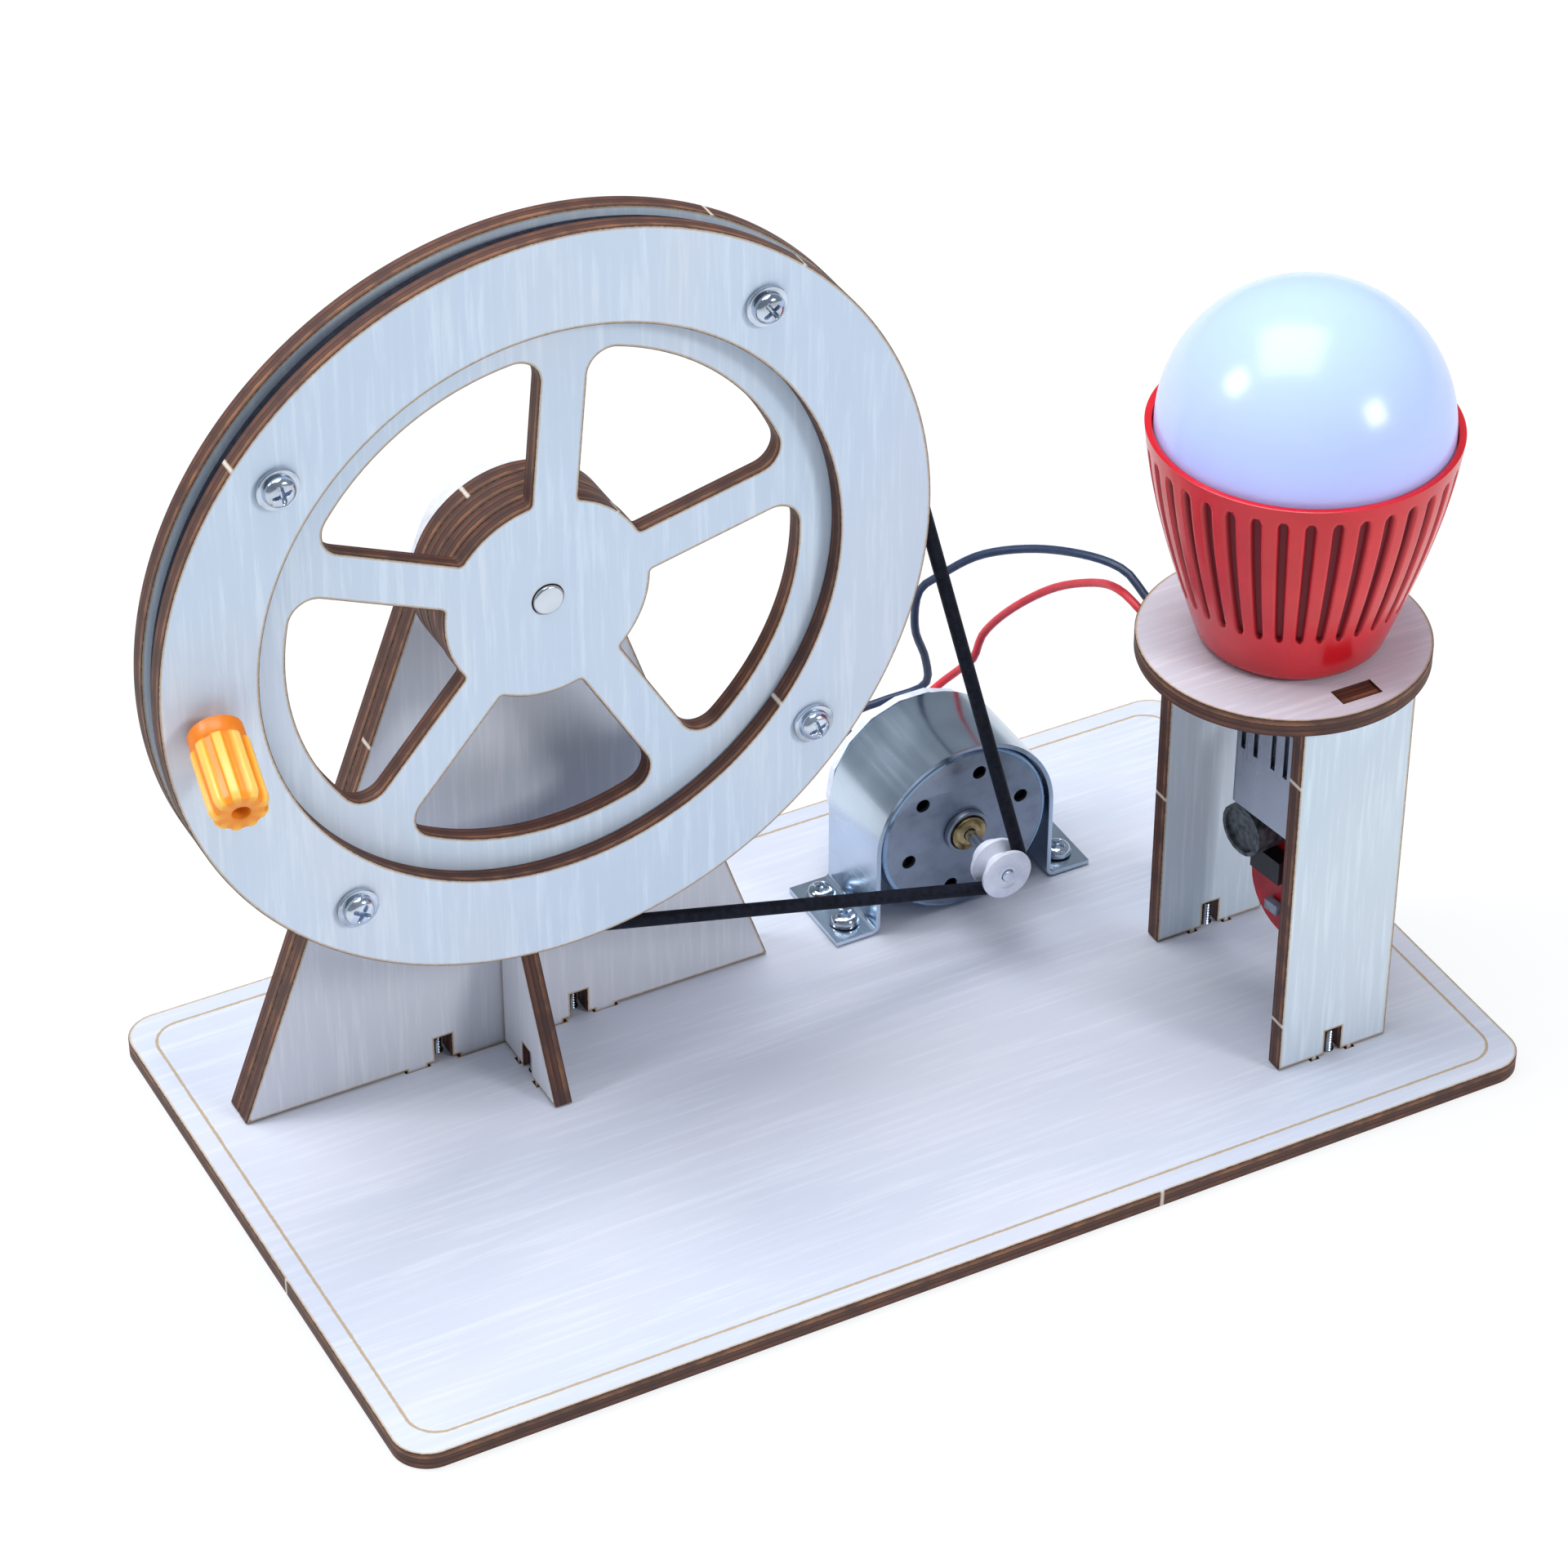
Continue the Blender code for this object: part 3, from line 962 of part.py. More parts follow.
# Converter module: everything on it turns with the lamp about the lamp's axis
module = bpy.data.objects.new("converter_frame", None)
module.location = (LAMP_X, LAMP_Y, PLY)
module.rotation_euler = (0, 0, LAMP_TURN)
bpy.context.scene.collection.objects.link(module)
half_depth, half_width = SOCKET_DEPTH / 2, SOCKET_WIDTH / 2
shell_outer = rounded(box_loop(-half_depth, -half_width, half_depth, half_width), SOCKET_CORNER, 3)
shell_inner = box_loop(SOCKET_WALL - half_depth, SOCKET_WALL - half_width,
                       half_depth - SOCKET_WALL, half_width - SOCKET_WALL)
socket = place("socket_shell", plate([shell_outer, shell_inner], SOCKET_HEIGHT), "steel",
               (0, 0, SOCKET_BOTTOM), None, module)
slot_tool = brick(-half_depth - OVERRUN, -SPRING_SLOT_WIDTH / 2, SOCKET_HEIGHT - SPRING_SLOT_LENGTH,
                  SOCKET_WALL - half_depth + OVERRUN / 2, SPRING_SLOT_WIDTH / 2, SOCKET_HEIGHT + OVERRUN)
cut(socket, "spring_slots", repeated(slot_tool, [
    (0, side * offset, 0) for side in (-1, 1) for offset in (SPRING_SLOT_INNER, SPRING_SLOT_OUTER)]),
    (0, 0, SOCKET_BOTTOM))
block_x = half_depth - SOCKET_WALL - GAP
plug_half = PLUG_DEPTH / 2
plug_block_x = plug_half - PLUG_WALL - PLUG_BLOCK
tongue_x = (plug_block_x - GAP - TONGUE_THICKNESS, plug_block_x - GAP)
tongue_y = PLUG_WIDTH / 2 - PLUG_WALL - GAP
insert_loop = [(-block_x, 0), (block_x, 0), (block_x, SOCKET_BLOCK), (tongue_x[1], SOCKET_BLOCK),
               (tongue_x[1], TONGUE_LENGTH), (tongue_x[0], TONGUE_LENGTH),
               (tongue_x[0], SOCKET_BLOCK), (-block_x, SOCKET_BLOCK)]
place("socket_insert", plate([insert_loop], tongue_y * 2), "black_plastic",
      (0, tongue_y, SOCKET_BOTTOM), FRONT_FACING, module)
plug_outer = box_loop(-plug_half, -PLUG_WIDTH / 2, plug_half, PLUG_WIDTH / 2)
plug_inner = box_loop(PLUG_WALL - plug_half, PLUG_WALL - PLUG_WIDTH / 2,
                      plug_block_x, PLUG_WIDTH / 2 - PLUG_WALL)
place("lamp_plug", plate([plug_outer, plug_inner], PLUG_LENGTH), "bright_steel",
      (0, 0, neck_bottom - GAP - PLY - PLUG_LENGTH), None, module)

# Board with a round lower end, standing behind the socket
board_x = half_depth + GAP
board_half = BOARD_WIDTH / 2
board_loop = arc(board_half, math.pi, math.tau, 16, (0, BOARD_CENTRE_HEIGHT))
board_loop += [(board_half, BOARD_TOP), (-board_half, BOARD_TOP)]
place("converter_board", plate([board_loop], BOARD_THICKNESS), "red_board",
      (board_x, 0, 0), SIDE_FACING, module)
face_x = board_x - GAP
COIL_FACING = Euler((0, -math.pi / 2, 0))
place("converter_coil", turned([
    (0, 0), (COIL_RADIUS, 0), (COIL_RADIUS, COIL_LENGTH), (COIL_RADIUS - COIL_RIM, COIL_LENGTH),
    (COIL_RADIUS - COIL_RIM, COIL_LENGTH - COIL_RECESS), (0, COIL_LENGTH - COIL_RECESS)], MEDIUM),
    "dark_steel", (face_x, COIL_Y, COIL_HEIGHT), COIL_FACING, module)
place("converter_chip", brick(
    face_x - CHIP_DEPTH, CHIP_Y - CHIP_WIDTH / 2, CHIP_LEVEL - CHIP_HEIGHT / 2,
    face_x, CHIP_Y + CHIP_WIDTH / 2, CHIP_LEVEL + CHIP_HEIGHT / 2), "black_plastic",
    (0, 0, 0), None, module)
place_each("converter_part", brick(
    face_x - SMALL_PART_DEPTH, -SMALL_PART_WIDTH / 2, 0,
    face_x, SMALL_PART_WIDTH / 2, SMALL_PART_HEIGHT), "grey_part", [
        (0, side * SMALL_PART_PITCH_Y / 2, SMALL_PART_LEVEL) for side in (-1, 1)], None, module)


def smooth_route(route, step):
    """Points at even steps along a smooth curve through the route."""
    dense = []
    ends = [route[0] * 2 - route[1]] + route + [route[-1] * 2 - route[-2]]
    for i in range(1, len(ends) - 2):
        a, b, c, d = ends[i - 1:i + 3]
        for k in range(20):
            t = k / 20
            dense.append(((b * 2) + (c - a) * t + (a * 2 - b * 5 + c * 4 - d) * t ** 2
                          + (b * 3 - a - c * 3 + d) * t ** 3) / 2)
    dense.append(route[-1])
    lengths = [0]
    for start, end in zip(dense, dense[1:]):
        lengths.append(lengths[-1] + (end - start).length)
    count = max(2, round(lengths[-1] / step))
    made = []
    for i in range(count + 1):
        target = lengths[-1] * i / count
        at = next(k for k, length in enumerate(lengths) if length >= target - GAP / 100)
        made.append(dense[at])
    return made


# Leads: from the motor's terminals up, over and down behind the disc to the back of the board
terminal_tip = MOTOR_FRONT_Y - terminal_back + GAP
terminal_z = MOTOR_Z + TERMINAL_OFFSET_Z
solder_x = board_x + BOARD_THICKNESS + GAP + LEAD_RADIUS


def landing(side):
    """The last two points of a lead, down the back of the board."""
    turn = Matrix.Rotation(LAMP_TURN, 2)
    x, y = turn @ Vector((solder_x, side * LEAD_LANDING_Y))
    top = PLY + LEAD_LANDING_HEIGHT
    return [Vector((LAMP_X + x, LAMP_Y + y, top + LEAD_DROP)), Vector((LAMP_X + x, LAMP_Y + y, top))]


def takeoff(side):
    """The first two points of a lead, straight back from its terminal."""
    start = Vector((MOTOR_X + side * TERMINAL_OFFSET_X, terminal_tip, terminal_z))
    return [start, start + Vector((0, LEAD_STEP, 0))]


motor_point = Vector(motor_front)
lamp_foot = Vector((LAMP_X, LAMP_Y, PLY))
dark_route = takeoff(-1) + [motor_point + Vector(point) for point in DARK_LEAD_RISE]
dark_route += [lamp_foot + Vector(point) for point in DARK_LEAD_FALL] + landing(1)
red_route = takeoff(1) + [motor_point + Vector(point) for point in RED_LEAD_RISE]
red_route += [lamp_foot + Vector(point) for point in RED_LEAD_FALL] + landing(-1)
cord("lead_dark", smooth_route(dark_route, LEAD_STEP), LEAD_RADIUS, "blue_lead", 1)
cord("lead_red", smooth_route(red_route, LEAD_STEP), LEAD_RADIUS, "red_lead", 1)
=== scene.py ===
"""Looks of the hand crank generator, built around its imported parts.

Metres throughout; +X runs along the base towards the lamp, -Y is the front and +Z is up."""

import math

import bmesh
import bpy
import numpy as np
from mathutils import Matrix, Vector
from mathutils.geometry import tessellate_polygon


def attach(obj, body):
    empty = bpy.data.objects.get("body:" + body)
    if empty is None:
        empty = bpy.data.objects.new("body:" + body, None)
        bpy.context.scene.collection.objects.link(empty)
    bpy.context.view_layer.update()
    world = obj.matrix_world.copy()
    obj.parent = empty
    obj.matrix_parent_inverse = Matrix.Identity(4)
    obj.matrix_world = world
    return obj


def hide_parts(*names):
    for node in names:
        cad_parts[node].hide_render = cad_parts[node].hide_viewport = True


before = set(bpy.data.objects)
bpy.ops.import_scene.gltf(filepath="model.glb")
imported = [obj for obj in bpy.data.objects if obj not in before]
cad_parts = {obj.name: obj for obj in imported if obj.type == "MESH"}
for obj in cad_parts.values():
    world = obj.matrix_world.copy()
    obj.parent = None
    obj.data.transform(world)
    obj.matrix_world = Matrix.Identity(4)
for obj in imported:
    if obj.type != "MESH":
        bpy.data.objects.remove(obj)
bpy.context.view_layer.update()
TURN = math.tau
lamp_at = np.array((0.0718, -0.0209))
motor_x, motor_z = 0.0382, 0.0191

# Camera: stands to the left of the front, looking down on the base as the photograph does.
# It is a long lens about 0.8 m away, so the base keeps nearly parallel sides.
eye = bpy.data.cameras.new("camera")
eye.lens = 114.40
eye.sensor_width = 36.0
eye.clip_start, eye.clip_end = 0.05, 20.0
camera = bpy.data.objects.new("camera", eye)
bearing, tilt, roll = 0.4867688, 0.6412318, 0.00077
ahead = Vector((math.sin(bearing) * math.cos(tilt), math.cos(bearing) * math.cos(tilt),
                -math.sin(tilt)))
right = ahead.cross(Vector((0, 0, 1))).normalized()
up = right.cross(ahead)
level = right * math.cos(roll) + up * math.sin(roll)
upright = up * math.cos(roll) - right * math.sin(roll)
axes = Matrix((level, upright, -ahead)).transposed().to_4x4()
camera.matrix_world = Matrix.Translation((-0.298248, -0.550419, 0.522687)) @ axes
bpy.context.scene.collection.objects.link(camera)
bpy.context.scene.camera = camera
bpy.context.scene.view_settings.view_transform = "Standard"


# Studio: a white sweep under the object, two soft boxes and a pale room.
# The soft boxes hang where the two bright spots on the lamp's dome reflect them.
def shade(red, green, blue):
    """A screen colour from 0 to 255 as the linear colour that a shader wants."""
    levels = np.array((red, green, blue)) / 255
    return tuple(np.where(levels < 0.04045, levels / 12.92, ((levels + 0.055) / 1.055) ** 2.4))


def fresh_look(name, colour, roughness, metallic=0.0):
    """A material with one shader, whose plain numbers are on the shader's own sockets."""
    look = bpy.data.materials.new(name)
    look.use_nodes = True
    shader = look.node_tree.nodes["Principled BSDF"]
    shader.inputs["Base Color"].default_value = (*colour, 1)
    shader.inputs["Roughness"].default_value = roughness
    shader.inputs["Metallic"].default_value = metallic
    return look, shader


def node(look, kind, feeds=None, **settings):
    """A new shader node; a feed is a number, a colour or the output of another node."""
    made = look.node_tree.nodes.new("ShaderNode" + kind)
    for key, value in settings.items():
        setattr(made, key, value)
    for key, value in (feeds or {}).items():
        if isinstance(value, bpy.types.NodeSocket):
            look.node_tree.links.new(value, made.inputs[key])
        else:
            made.inputs[key].default_value = value
    return made


def wire(look, output, shader, socket):
    look.node_tree.links.new(output, shader.inputs[socket])


def place_on(look):
    """The place in the piece's own space, which moves with it at every pose."""
    return node(look, "TexCoord").outputs["Object"]


def maths(look, operation, *values, kind="Math"):
    """A sum in the shader; returns the node's first output."""
    return node(look, kind, dict(enumerate(values)), operation=operation).outputs[0]


def relief(look, shader, height, strength, distance):
    """Fine unevenness of the surface, as bump."""
    bump = node(look, "Bump", {"Height": height, "Strength": strength, "Distance": distance})
    wire(look, bump.outputs["Normal"], shader, "Normal")


def rough_from(look, shader, factor, feeds):
    """Roughness that follows a factor, spread over the range in feeds."""
    wire(look, node(look, "MapRange", {0: factor, **feeds}).outputs[0], shader, "Roughness")


def ramp(look, factor, stops):
    """Colour ramp from (place, colour) pairs."""
    made = node(look, "ValToRGB", {"Fac": factor})
    while len(made.color_ramp.elements) < len(stops):
        made.color_ramp.elements.new(0.5)
    for element, (place, colour) in zip(made.color_ramp.elements, stops):
        element.position = place
        element.color = (*colour, 1)
    return made.outputs["Color"]


def two_tone(look, shader, factor, low, high):
    """Base colour that wanders between two tones."""
    wire(look, ramp(look, factor, [(0.3, low), (0.7, high)]), shader, "Base Color")


def mask(look, factor, *stops):
    """Ramp in greys, from (place, grey) pairs."""
    return ramp(look, factor, [(place, (grey,) * 3) for place, grey in stops])


def blend_colours(look, factor, one, other, kind="MIX"):
    made = node(look, "Mix", data_type="RGBA", blend_type=kind)
    for index, value in ((0, factor), (6, one), (7, other)):
        if isinstance(value, bpy.types.NodeSocket):
            look.node_tree.links.new(value, made.inputs[index])
        else:
            made.inputs[index].default_value = value if index == 0 else (*value, 1)
    return made.outputs[2]


def noise(look, scale, detail=4.0, stretch=None, rough=0.5):
    """Fractal noise in the piece's own space, stretched where the scales differ."""
    place = place_on(look)
    if stretch:
        place = node(look, "Mapping", {"Vector": place, "Scale": stretch}).outputs[0]
    return node(look, "TexNoise", {"Vector": place, "Scale": scale, "Detail": detail,
                                   "Roughness": rough}).outputs["Fac"]


world = bpy.data.worlds.new("pale_room")
bpy.context.scene.world = world
world.use_nodes = True
room = world.node_tree
glow = room.nodes["Background"]
glow.inputs["Color"].default_value = (0.80, 0.90, 1.0, 1)
glow.inputs["Strength"].default_value = 0.36
plain = node(world, "Background", {"Color": (1, 1, 1, 1)})
to_camera = node(world, "LightPath").outputs["Is Camera Ray"]
seen = node(world, "MixShader", {0: to_camera, 1: glow.outputs[0], 2: plain.outputs[0]})
wire(world, seen.outputs[0], room.nodes["World Output"], "Surface")

for name, direction, size, watts in (
        ("soft_box_left", (-0.74, 0.31, 0.60), 0.26, 3.6),
        ("soft_box_right", (0.42, -0.78, 0.48), 0.26, 3.8),
        ("ceiling", (-0.16, 0.14, 0.97), 0.75, 11.0)):
    lamp = bpy.data.lights.new(name, "AREA")
    lamp.size = size
    lamp.energy = watts
    lamp.color = (0.95, 0.98, 1.0)
    hung = bpy.data.objects.new(name, lamp)
    towards = Vector(direction).normalized()
    hung.location = Vector((*lamp_at, 0.10)) + towards
    hung.rotation_euler = (-towards).to_track_quat("-Z", "Y").to_euler()
    bpy.context.scene.collection.objects.link(hung)

sweep_mesh = bpy.data.meshes.new("white_sweep")
sweep_mesh.from_pydata([(-4, -4, 0), (4, -4, 0), (4, 4, 0), (-4, 4, 0)], [], [(0, 1, 2, 3)])
sweep = bpy.data.objects.new("white_sweep", sweep_mesh)
sweep.location = (0, 0, -0.0002)
bpy.context.scene.collection.objects.link(sweep)
paper, paper_shader = fresh_look("white_paper", (0.86, 0.88, 0.90), 0.9)
lit = node(paper, "LightPath")
seen_paper = maths(paper, "MAXIMUM", lit.outputs["Is Camera Ray"], lit.outputs["Is Glossy Ray"])
share = maths(paper, "MULTIPLY", seen_paper, 0.80)
self_lit = node(paper, "Emission", {"Color": (1, 1, 1, 1), "Strength": 1.0})
paper_mix = node(paper, "MixShader", {0: share, 1: paper_shader.outputs[0], 2: self_lit.outputs[0]})
wire(paper, paper_mix.outputs[0], paper.node_tree.nodes["Material Output"], "Surface")
sweep_mesh.materials.append(paper)


# Leads: two thin stranded wires in soft sleeves, one dark blue and one red.
# Each is soldered to a terminal of the motor, arches over and goes down behind the disc
# to the back of the converter board.
def smooth_line(route, step):
    """Catmull-Rom curve through the points, sampled at even steps of its length."""
    route = np.array(route, float)
    ends = np.vstack([2 * route[0] - route[1], route, 2 * route[-1] - route[-2]])
    t = np.linspace(0, 1, 20, endpoint=False)[:, None]
    spans = [
        (2 * b + (c - a) * t + (2 * a - 5 * b + 4 * c - d) * t ** 2
         + (3 * b - a - 3 * c + d) * t ** 3) / 2
        for a, b, c, d in zip(ends[:-3], ends[1:-2], ends[2:-1], ends[3:])]
    dense = np.vstack(spans + [route[-1:]])
    far = np.concatenate([[0], np.cumsum(np.linalg.norm(np.diff(dense, axis=0), axis=1))])
    count = max(2, round(far[-1] / step)) + 1
    even = np.linspace(0, far[-1], count)
    return np.stack([np.interp(even, far, dense[:, k]) for k in range(3)], 1), far[-1]


def sleeve(name, colour, sheen_lift):
    """Soft plastic round a wire: slightly uneven colour, with lighter patches painted in as a faint
    sheen.
    """
    look, shader = fresh_look(name, colour, 0.42)
    cloud = noise(look, 420.0, 3.0)
    # the lighter end of the ramp is a painted sheen, lifted above the sleeve's own colour
    dull, sheen_tone = [c * 0.72 for c in colour], [min(1, c * 1.15 + sheen_lift) for c in colour]
    wire(look, ramp(look, cloud, [(0.0, dull), (1.0, sheen_tone)]), shader, "Base Color")
    relief(look, shader, cloud, 0.15, 0.0003)
    return look


lead_radius = 0.0007
lead_routes = {
    "lead_dark": ("blue_lead", sleeve("blue_sleeve", shade(16, 42, 78), 0.02), [
        (0.0302, 0.0446, 0.0251), (0.0302, 0.0488, 0.0251), (0.0330, 0.0500, 0.0262),
        (0.0385, 0.0490, 0.0275), (0.0440, 0.0455, 0.0310), (0.0430, 0.0435, 0.0380),
        (0.0401, 0.0422, 0.0460), (0.0400, 0.0410, 0.0541), (0.0421, 0.0380, 0.0585),
        (0.0463, 0.0320, 0.0649), (0.0515, 0.0240, 0.0693), (0.0554, 0.0140, 0.0728),
        (0.0582, 0.0070, 0.0733), (0.0592, 0.0022, 0.0712), (0.0599, -0.0022, 0.0693),
        (0.0620, -0.0070, 0.0660), (0.0680, -0.0092, 0.0620), (0.0738, -0.0100, 0.0590),
        (0.0770, -0.0125, 0.0545), (0.077581, -0.016048, 0.0470), (0.077581, -0.016048, 0.0430)]),
    "lead_red": ("red_lead", sleeve("red_sleeve", shade(214, 22, 46), 0.03), [
        (0.0462, 0.0446, 0.0251), (0.0462, 0.0488, 0.0251), (0.0490, 0.0492, 0.0270),
        (0.0510, 0.0460, 0.0315), (0.0515, 0.0420, 0.0364), (0.0522, 0.0400, 0.0425),
        (0.0540, 0.0340, 0.0506), (0.0569, 0.0260, 0.0586), (0.0583, 0.0160, 0.0653),
        (0.0580, 0.0080, 0.0690), (0.0585, 0.0020, 0.0685), (0.0594, -0.0022, 0.0664),
        (0.0615, -0.0070, 0.0625), (0.0680, -0.0085, 0.0580), (0.0760, -0.0085, 0.0560),
        (0.0810, -0.0120, 0.0545), (0.0812, -0.0185, 0.0520), (0.078694, -0.02397, 0.0470),
        (0.078694, -0.02397, 0.0430)]),
}
for name, (slot, look, route) in lead_routes.items():
    line, length = smooth_line(route, 0.002)
    curve = bpy.data.curves.new(name + "_wire", "CURVE")
    curve.dimensions = "3D"
    curve.bevel_depth = lead_radius
    curve.bevel_resolution = 5
    curve.use_fill_caps = True
    spline = curve.splines.new("POLY")
    spline.points.add(len(line) - 1)
    spline.points.foreach_set("co", np.hstack([line, np.ones((len(line), 1))]).ravel())
    spline.use_smooth = True
    curve.materials.append(look)
    lead = bpy.data.objects.new(name + "_wire", curve)
    bpy.context.scene.collection.objects.link(lead)
    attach(lead, "frame")
    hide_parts(name)


# Base plate: 3 mm birch plywood cut by laser, which leaves brown scorched edges with
# the plies showing, a tan line along each cut, and a fine border line engraved on top.
def settle(name, mesh, look, body, nodes=(), crease=35):
    """Close the mesh, turn its faces outwards, shade it and hang it on its body."""
    work = bmesh.new()
    work.from_mesh(mesh)
    bmesh.ops.remove_doubles(work, verts=work.verts[:], dist=1e-7)
    bmesh.ops.recalc_face_normals(work, faces=work.faces[:])
    work.to_mesh(mesh)
    work.free()
    mesh.shade_smooth()
    mesh.set_sharp_from_angle(angle=math.radians(crease))
    mesh.materials.append(look)
    piece = bpy.data.objects.new(name, mesh)
    bpy.context.scene.collection.objects.link(piece)
    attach(piece, body)
    if nodes:
        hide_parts(*nodes)
    return piece


def round_corners(corners, radii, steps=6):
    """Outline with each corner replaced by an arc that touches both of its edges; a corner
    with no radius, or with no bend in it, is kept."""
    corners = np.array(corners, float)
    radii = np.broadcast_to(radii, len(corners))
    made = []
    neighbours = zip(np.roll(corners, 1, 0), corners, np.roll(corners, -1, 0), radii)
    for before, here, after, radius in neighbours:
        back, on = before - here, after - here
        if radius == 0 or abs(back[0] * on[1] - back[1] * on[0]) < 1e-12:
            made.append(here[None])
            continue
        back, on = back / np.linalg.norm(back), on / np.linalg.norm(on)
        half = math.acos(np.clip(back @ on, -1, 1)) / 2
        middle = here + (back + on) / np.linalg.norm(back + on) * radius / math.sin(half)
        first, last = (here + way * radius / math.tan(half) - middle for way in (back, on))
        start = math.atan2(first[1], first[0])
        sweep_by = (math.atan2(last[1], last[0]) - start + math.pi) % TURN - math.pi
        angles = start + sweep_by * np.linspace(0, 1, steps + 1)
        made.append(arc(radius, angles, middle))
    return np.vstack(made)


def whole_turn(steps):
    """Even angles once round, without the last, which is the first again."""
    return np.arange(steps) / steps * TURN


def arc(radius, angles, middle=(0, 0)):
    """Points of a circle about the middle, at the given angles."""
    return radius * np.stack([np.cos(angles), np.sin(angles)], -1) + middle


def ring_line(radius, steps, middle=(0, 0)):
    return arc(radius, whole_turn(steps), middle)


def box_line(low, high):
    return np.array([(low[0], low[1]), (high[0], low[1]), (high[0], high[1]), (low[0], high[1])])


def fine_line(outline, step=0.0005):
    """The closed outline with its long edges divided evenly, corners kept."""
    parts = []
    for here, after in zip(outline, np.roll(outline, -1, 0)):
        count = max(1, round(np.linalg.norm(after - here) / step))
        parts.append(here + (after - here) * np.linspace(0, 1, count, endpoint=False)[:, None])
    return np.vstack(parts)


def into_wood(outline):
    """Mitre directions: the left-hand normals of a point's two edges, added, then
    lengthened so that moving along them moves both edges by the same distance."""
    on = np.roll(outline, -1, 0) - outline
    on /= np.linalg.norm(on, axis=1, keepdims=True)
    left = np.stack([-on[:, 1], on[:, 0]], 1)
    before = np.roll(left, 1, 0)
    return (left + before) / np.maximum(1 + (left * before).sum(1), 0.35)[:, None]


def mark_points(mesh, label, values):
    """Store one number for each of the mesh's points, for its material to read."""
    mesh.attributes.new(label, "FLOAT", "POINT").data.foreach_set("value", values)


# Rows of a cut edge: how far in from the cut, how high in the sheet, how scorched.
SCORCH = [(0.00055, 0, 0.0), (0.00030, 0, 0.40), (0.00008, 0, 0.80), (0, 0.02, 1.0),
          (0, 0.98, 1.0), (0.00008, 1, 0.80), (0.00030, 1, 0.40), (0.00055, 1, 0.0)]
CRISP = [(0.00012, 0, 0.0), (0, 0.06, 1.0), (0, 0.94, 1.0), (0.00012, 1, 0.0)]


def cut_sheet(name, outline, holes, thickness, origin, across, upward, out,
              rows=SCORCH, nibs=(), sinks=(), bare=None):
    """A flat sheet: each outline, moved into the sheet and up by each row, makes a band
    of faces, and the innermost lines of both faces are filled in between.
    A hole in sinks is widened at the back as a seat for a screw's head. Nibs are uncut
    marks, which stay pale; within the last argument's (middle, radius) the scorched edge is
    painted pale, a painted highlight where the edge catches the light."""
    points, faces, scorch, depth, rims = [], [], [], [], ([], [])
    seats = dict(sinks)
    for index, loop in enumerate([outline, *holes]):
        loop = fine_line(np.array(loop, float))
        area = np.sum(loop[:, 0] * np.roll(loop[:, 1], -1) - np.roll(loop[:, 0], -1) * loop[:, 1])
        if (area > 0) != (index == 0):
            loop = loop[::-1]
        inward = into_wood(loop)
        seat = seats.get(index - 1, 0.0)
        band = 0.1 if seat else (0.3 if index and np.ptp(loop, 0).sum() < 0.02 else 1.0)
        count, first = len(loop), sum(len(p) for p in points)
        for k, (inset, height, burnt) in enumerate(rows):
            widen = seat * np.clip(1 - (height - 0.07) / 0.38, 0, 1) if seat else 0.0
            at = loop + inward * (inset * band + widen)
            points.append(np.column_stack([at, np.full(count, height * thickness)]))
            mark = np.full(count, burnt)
            for spot in nibs:
                away = np.linalg.norm(loop - spot, axis=1)
                if away.min() < 0.0012:
                    mark[away.argmin()] = min(burnt, 0.12)
            # painted highlight: the scorched edge is painted pale within the given circle
            if bare:
                near = np.linalg.norm(loop - bare[0], axis=1) < bare[1]
                mark = np.where(near, mark * 0.1, mark)
            scorch.append(mark)
            depth.append(np.full(count, height))
        grid = first + np.arange(len(rows) * count).reshape(len(rows), count)
        on = np.roll(grid, -1, 1)
        faces += np.stack([grid[:-1], on[:-1], on[1:], grid[1:]], -1).reshape(-1, 4).tolist()
        rims[0].append(grid[0])
        rims[1].append(grid[-1])
    flat = np.vstack(points)
    for rim in rims:
        order = np.concatenate(rim)
        lines = [[Vector((*flat[i, :2], 0)) for i in ring] for ring in rim]
        faces += [[int(order[i]) for i in corner] for corner in tessellate_polygon(lines)]
    world_points = np.array(origin) + flat @ np.array([across, upward, out], float)
    mesh = bpy.data.meshes.new(name)
    mesh.from_pydata(world_points.tolist(), [], faces)
    mark_points(mesh, "scorch", np.concatenate(scorch))
    mark_points(mesh, "depth", np.concatenate(depth))
    return mesh


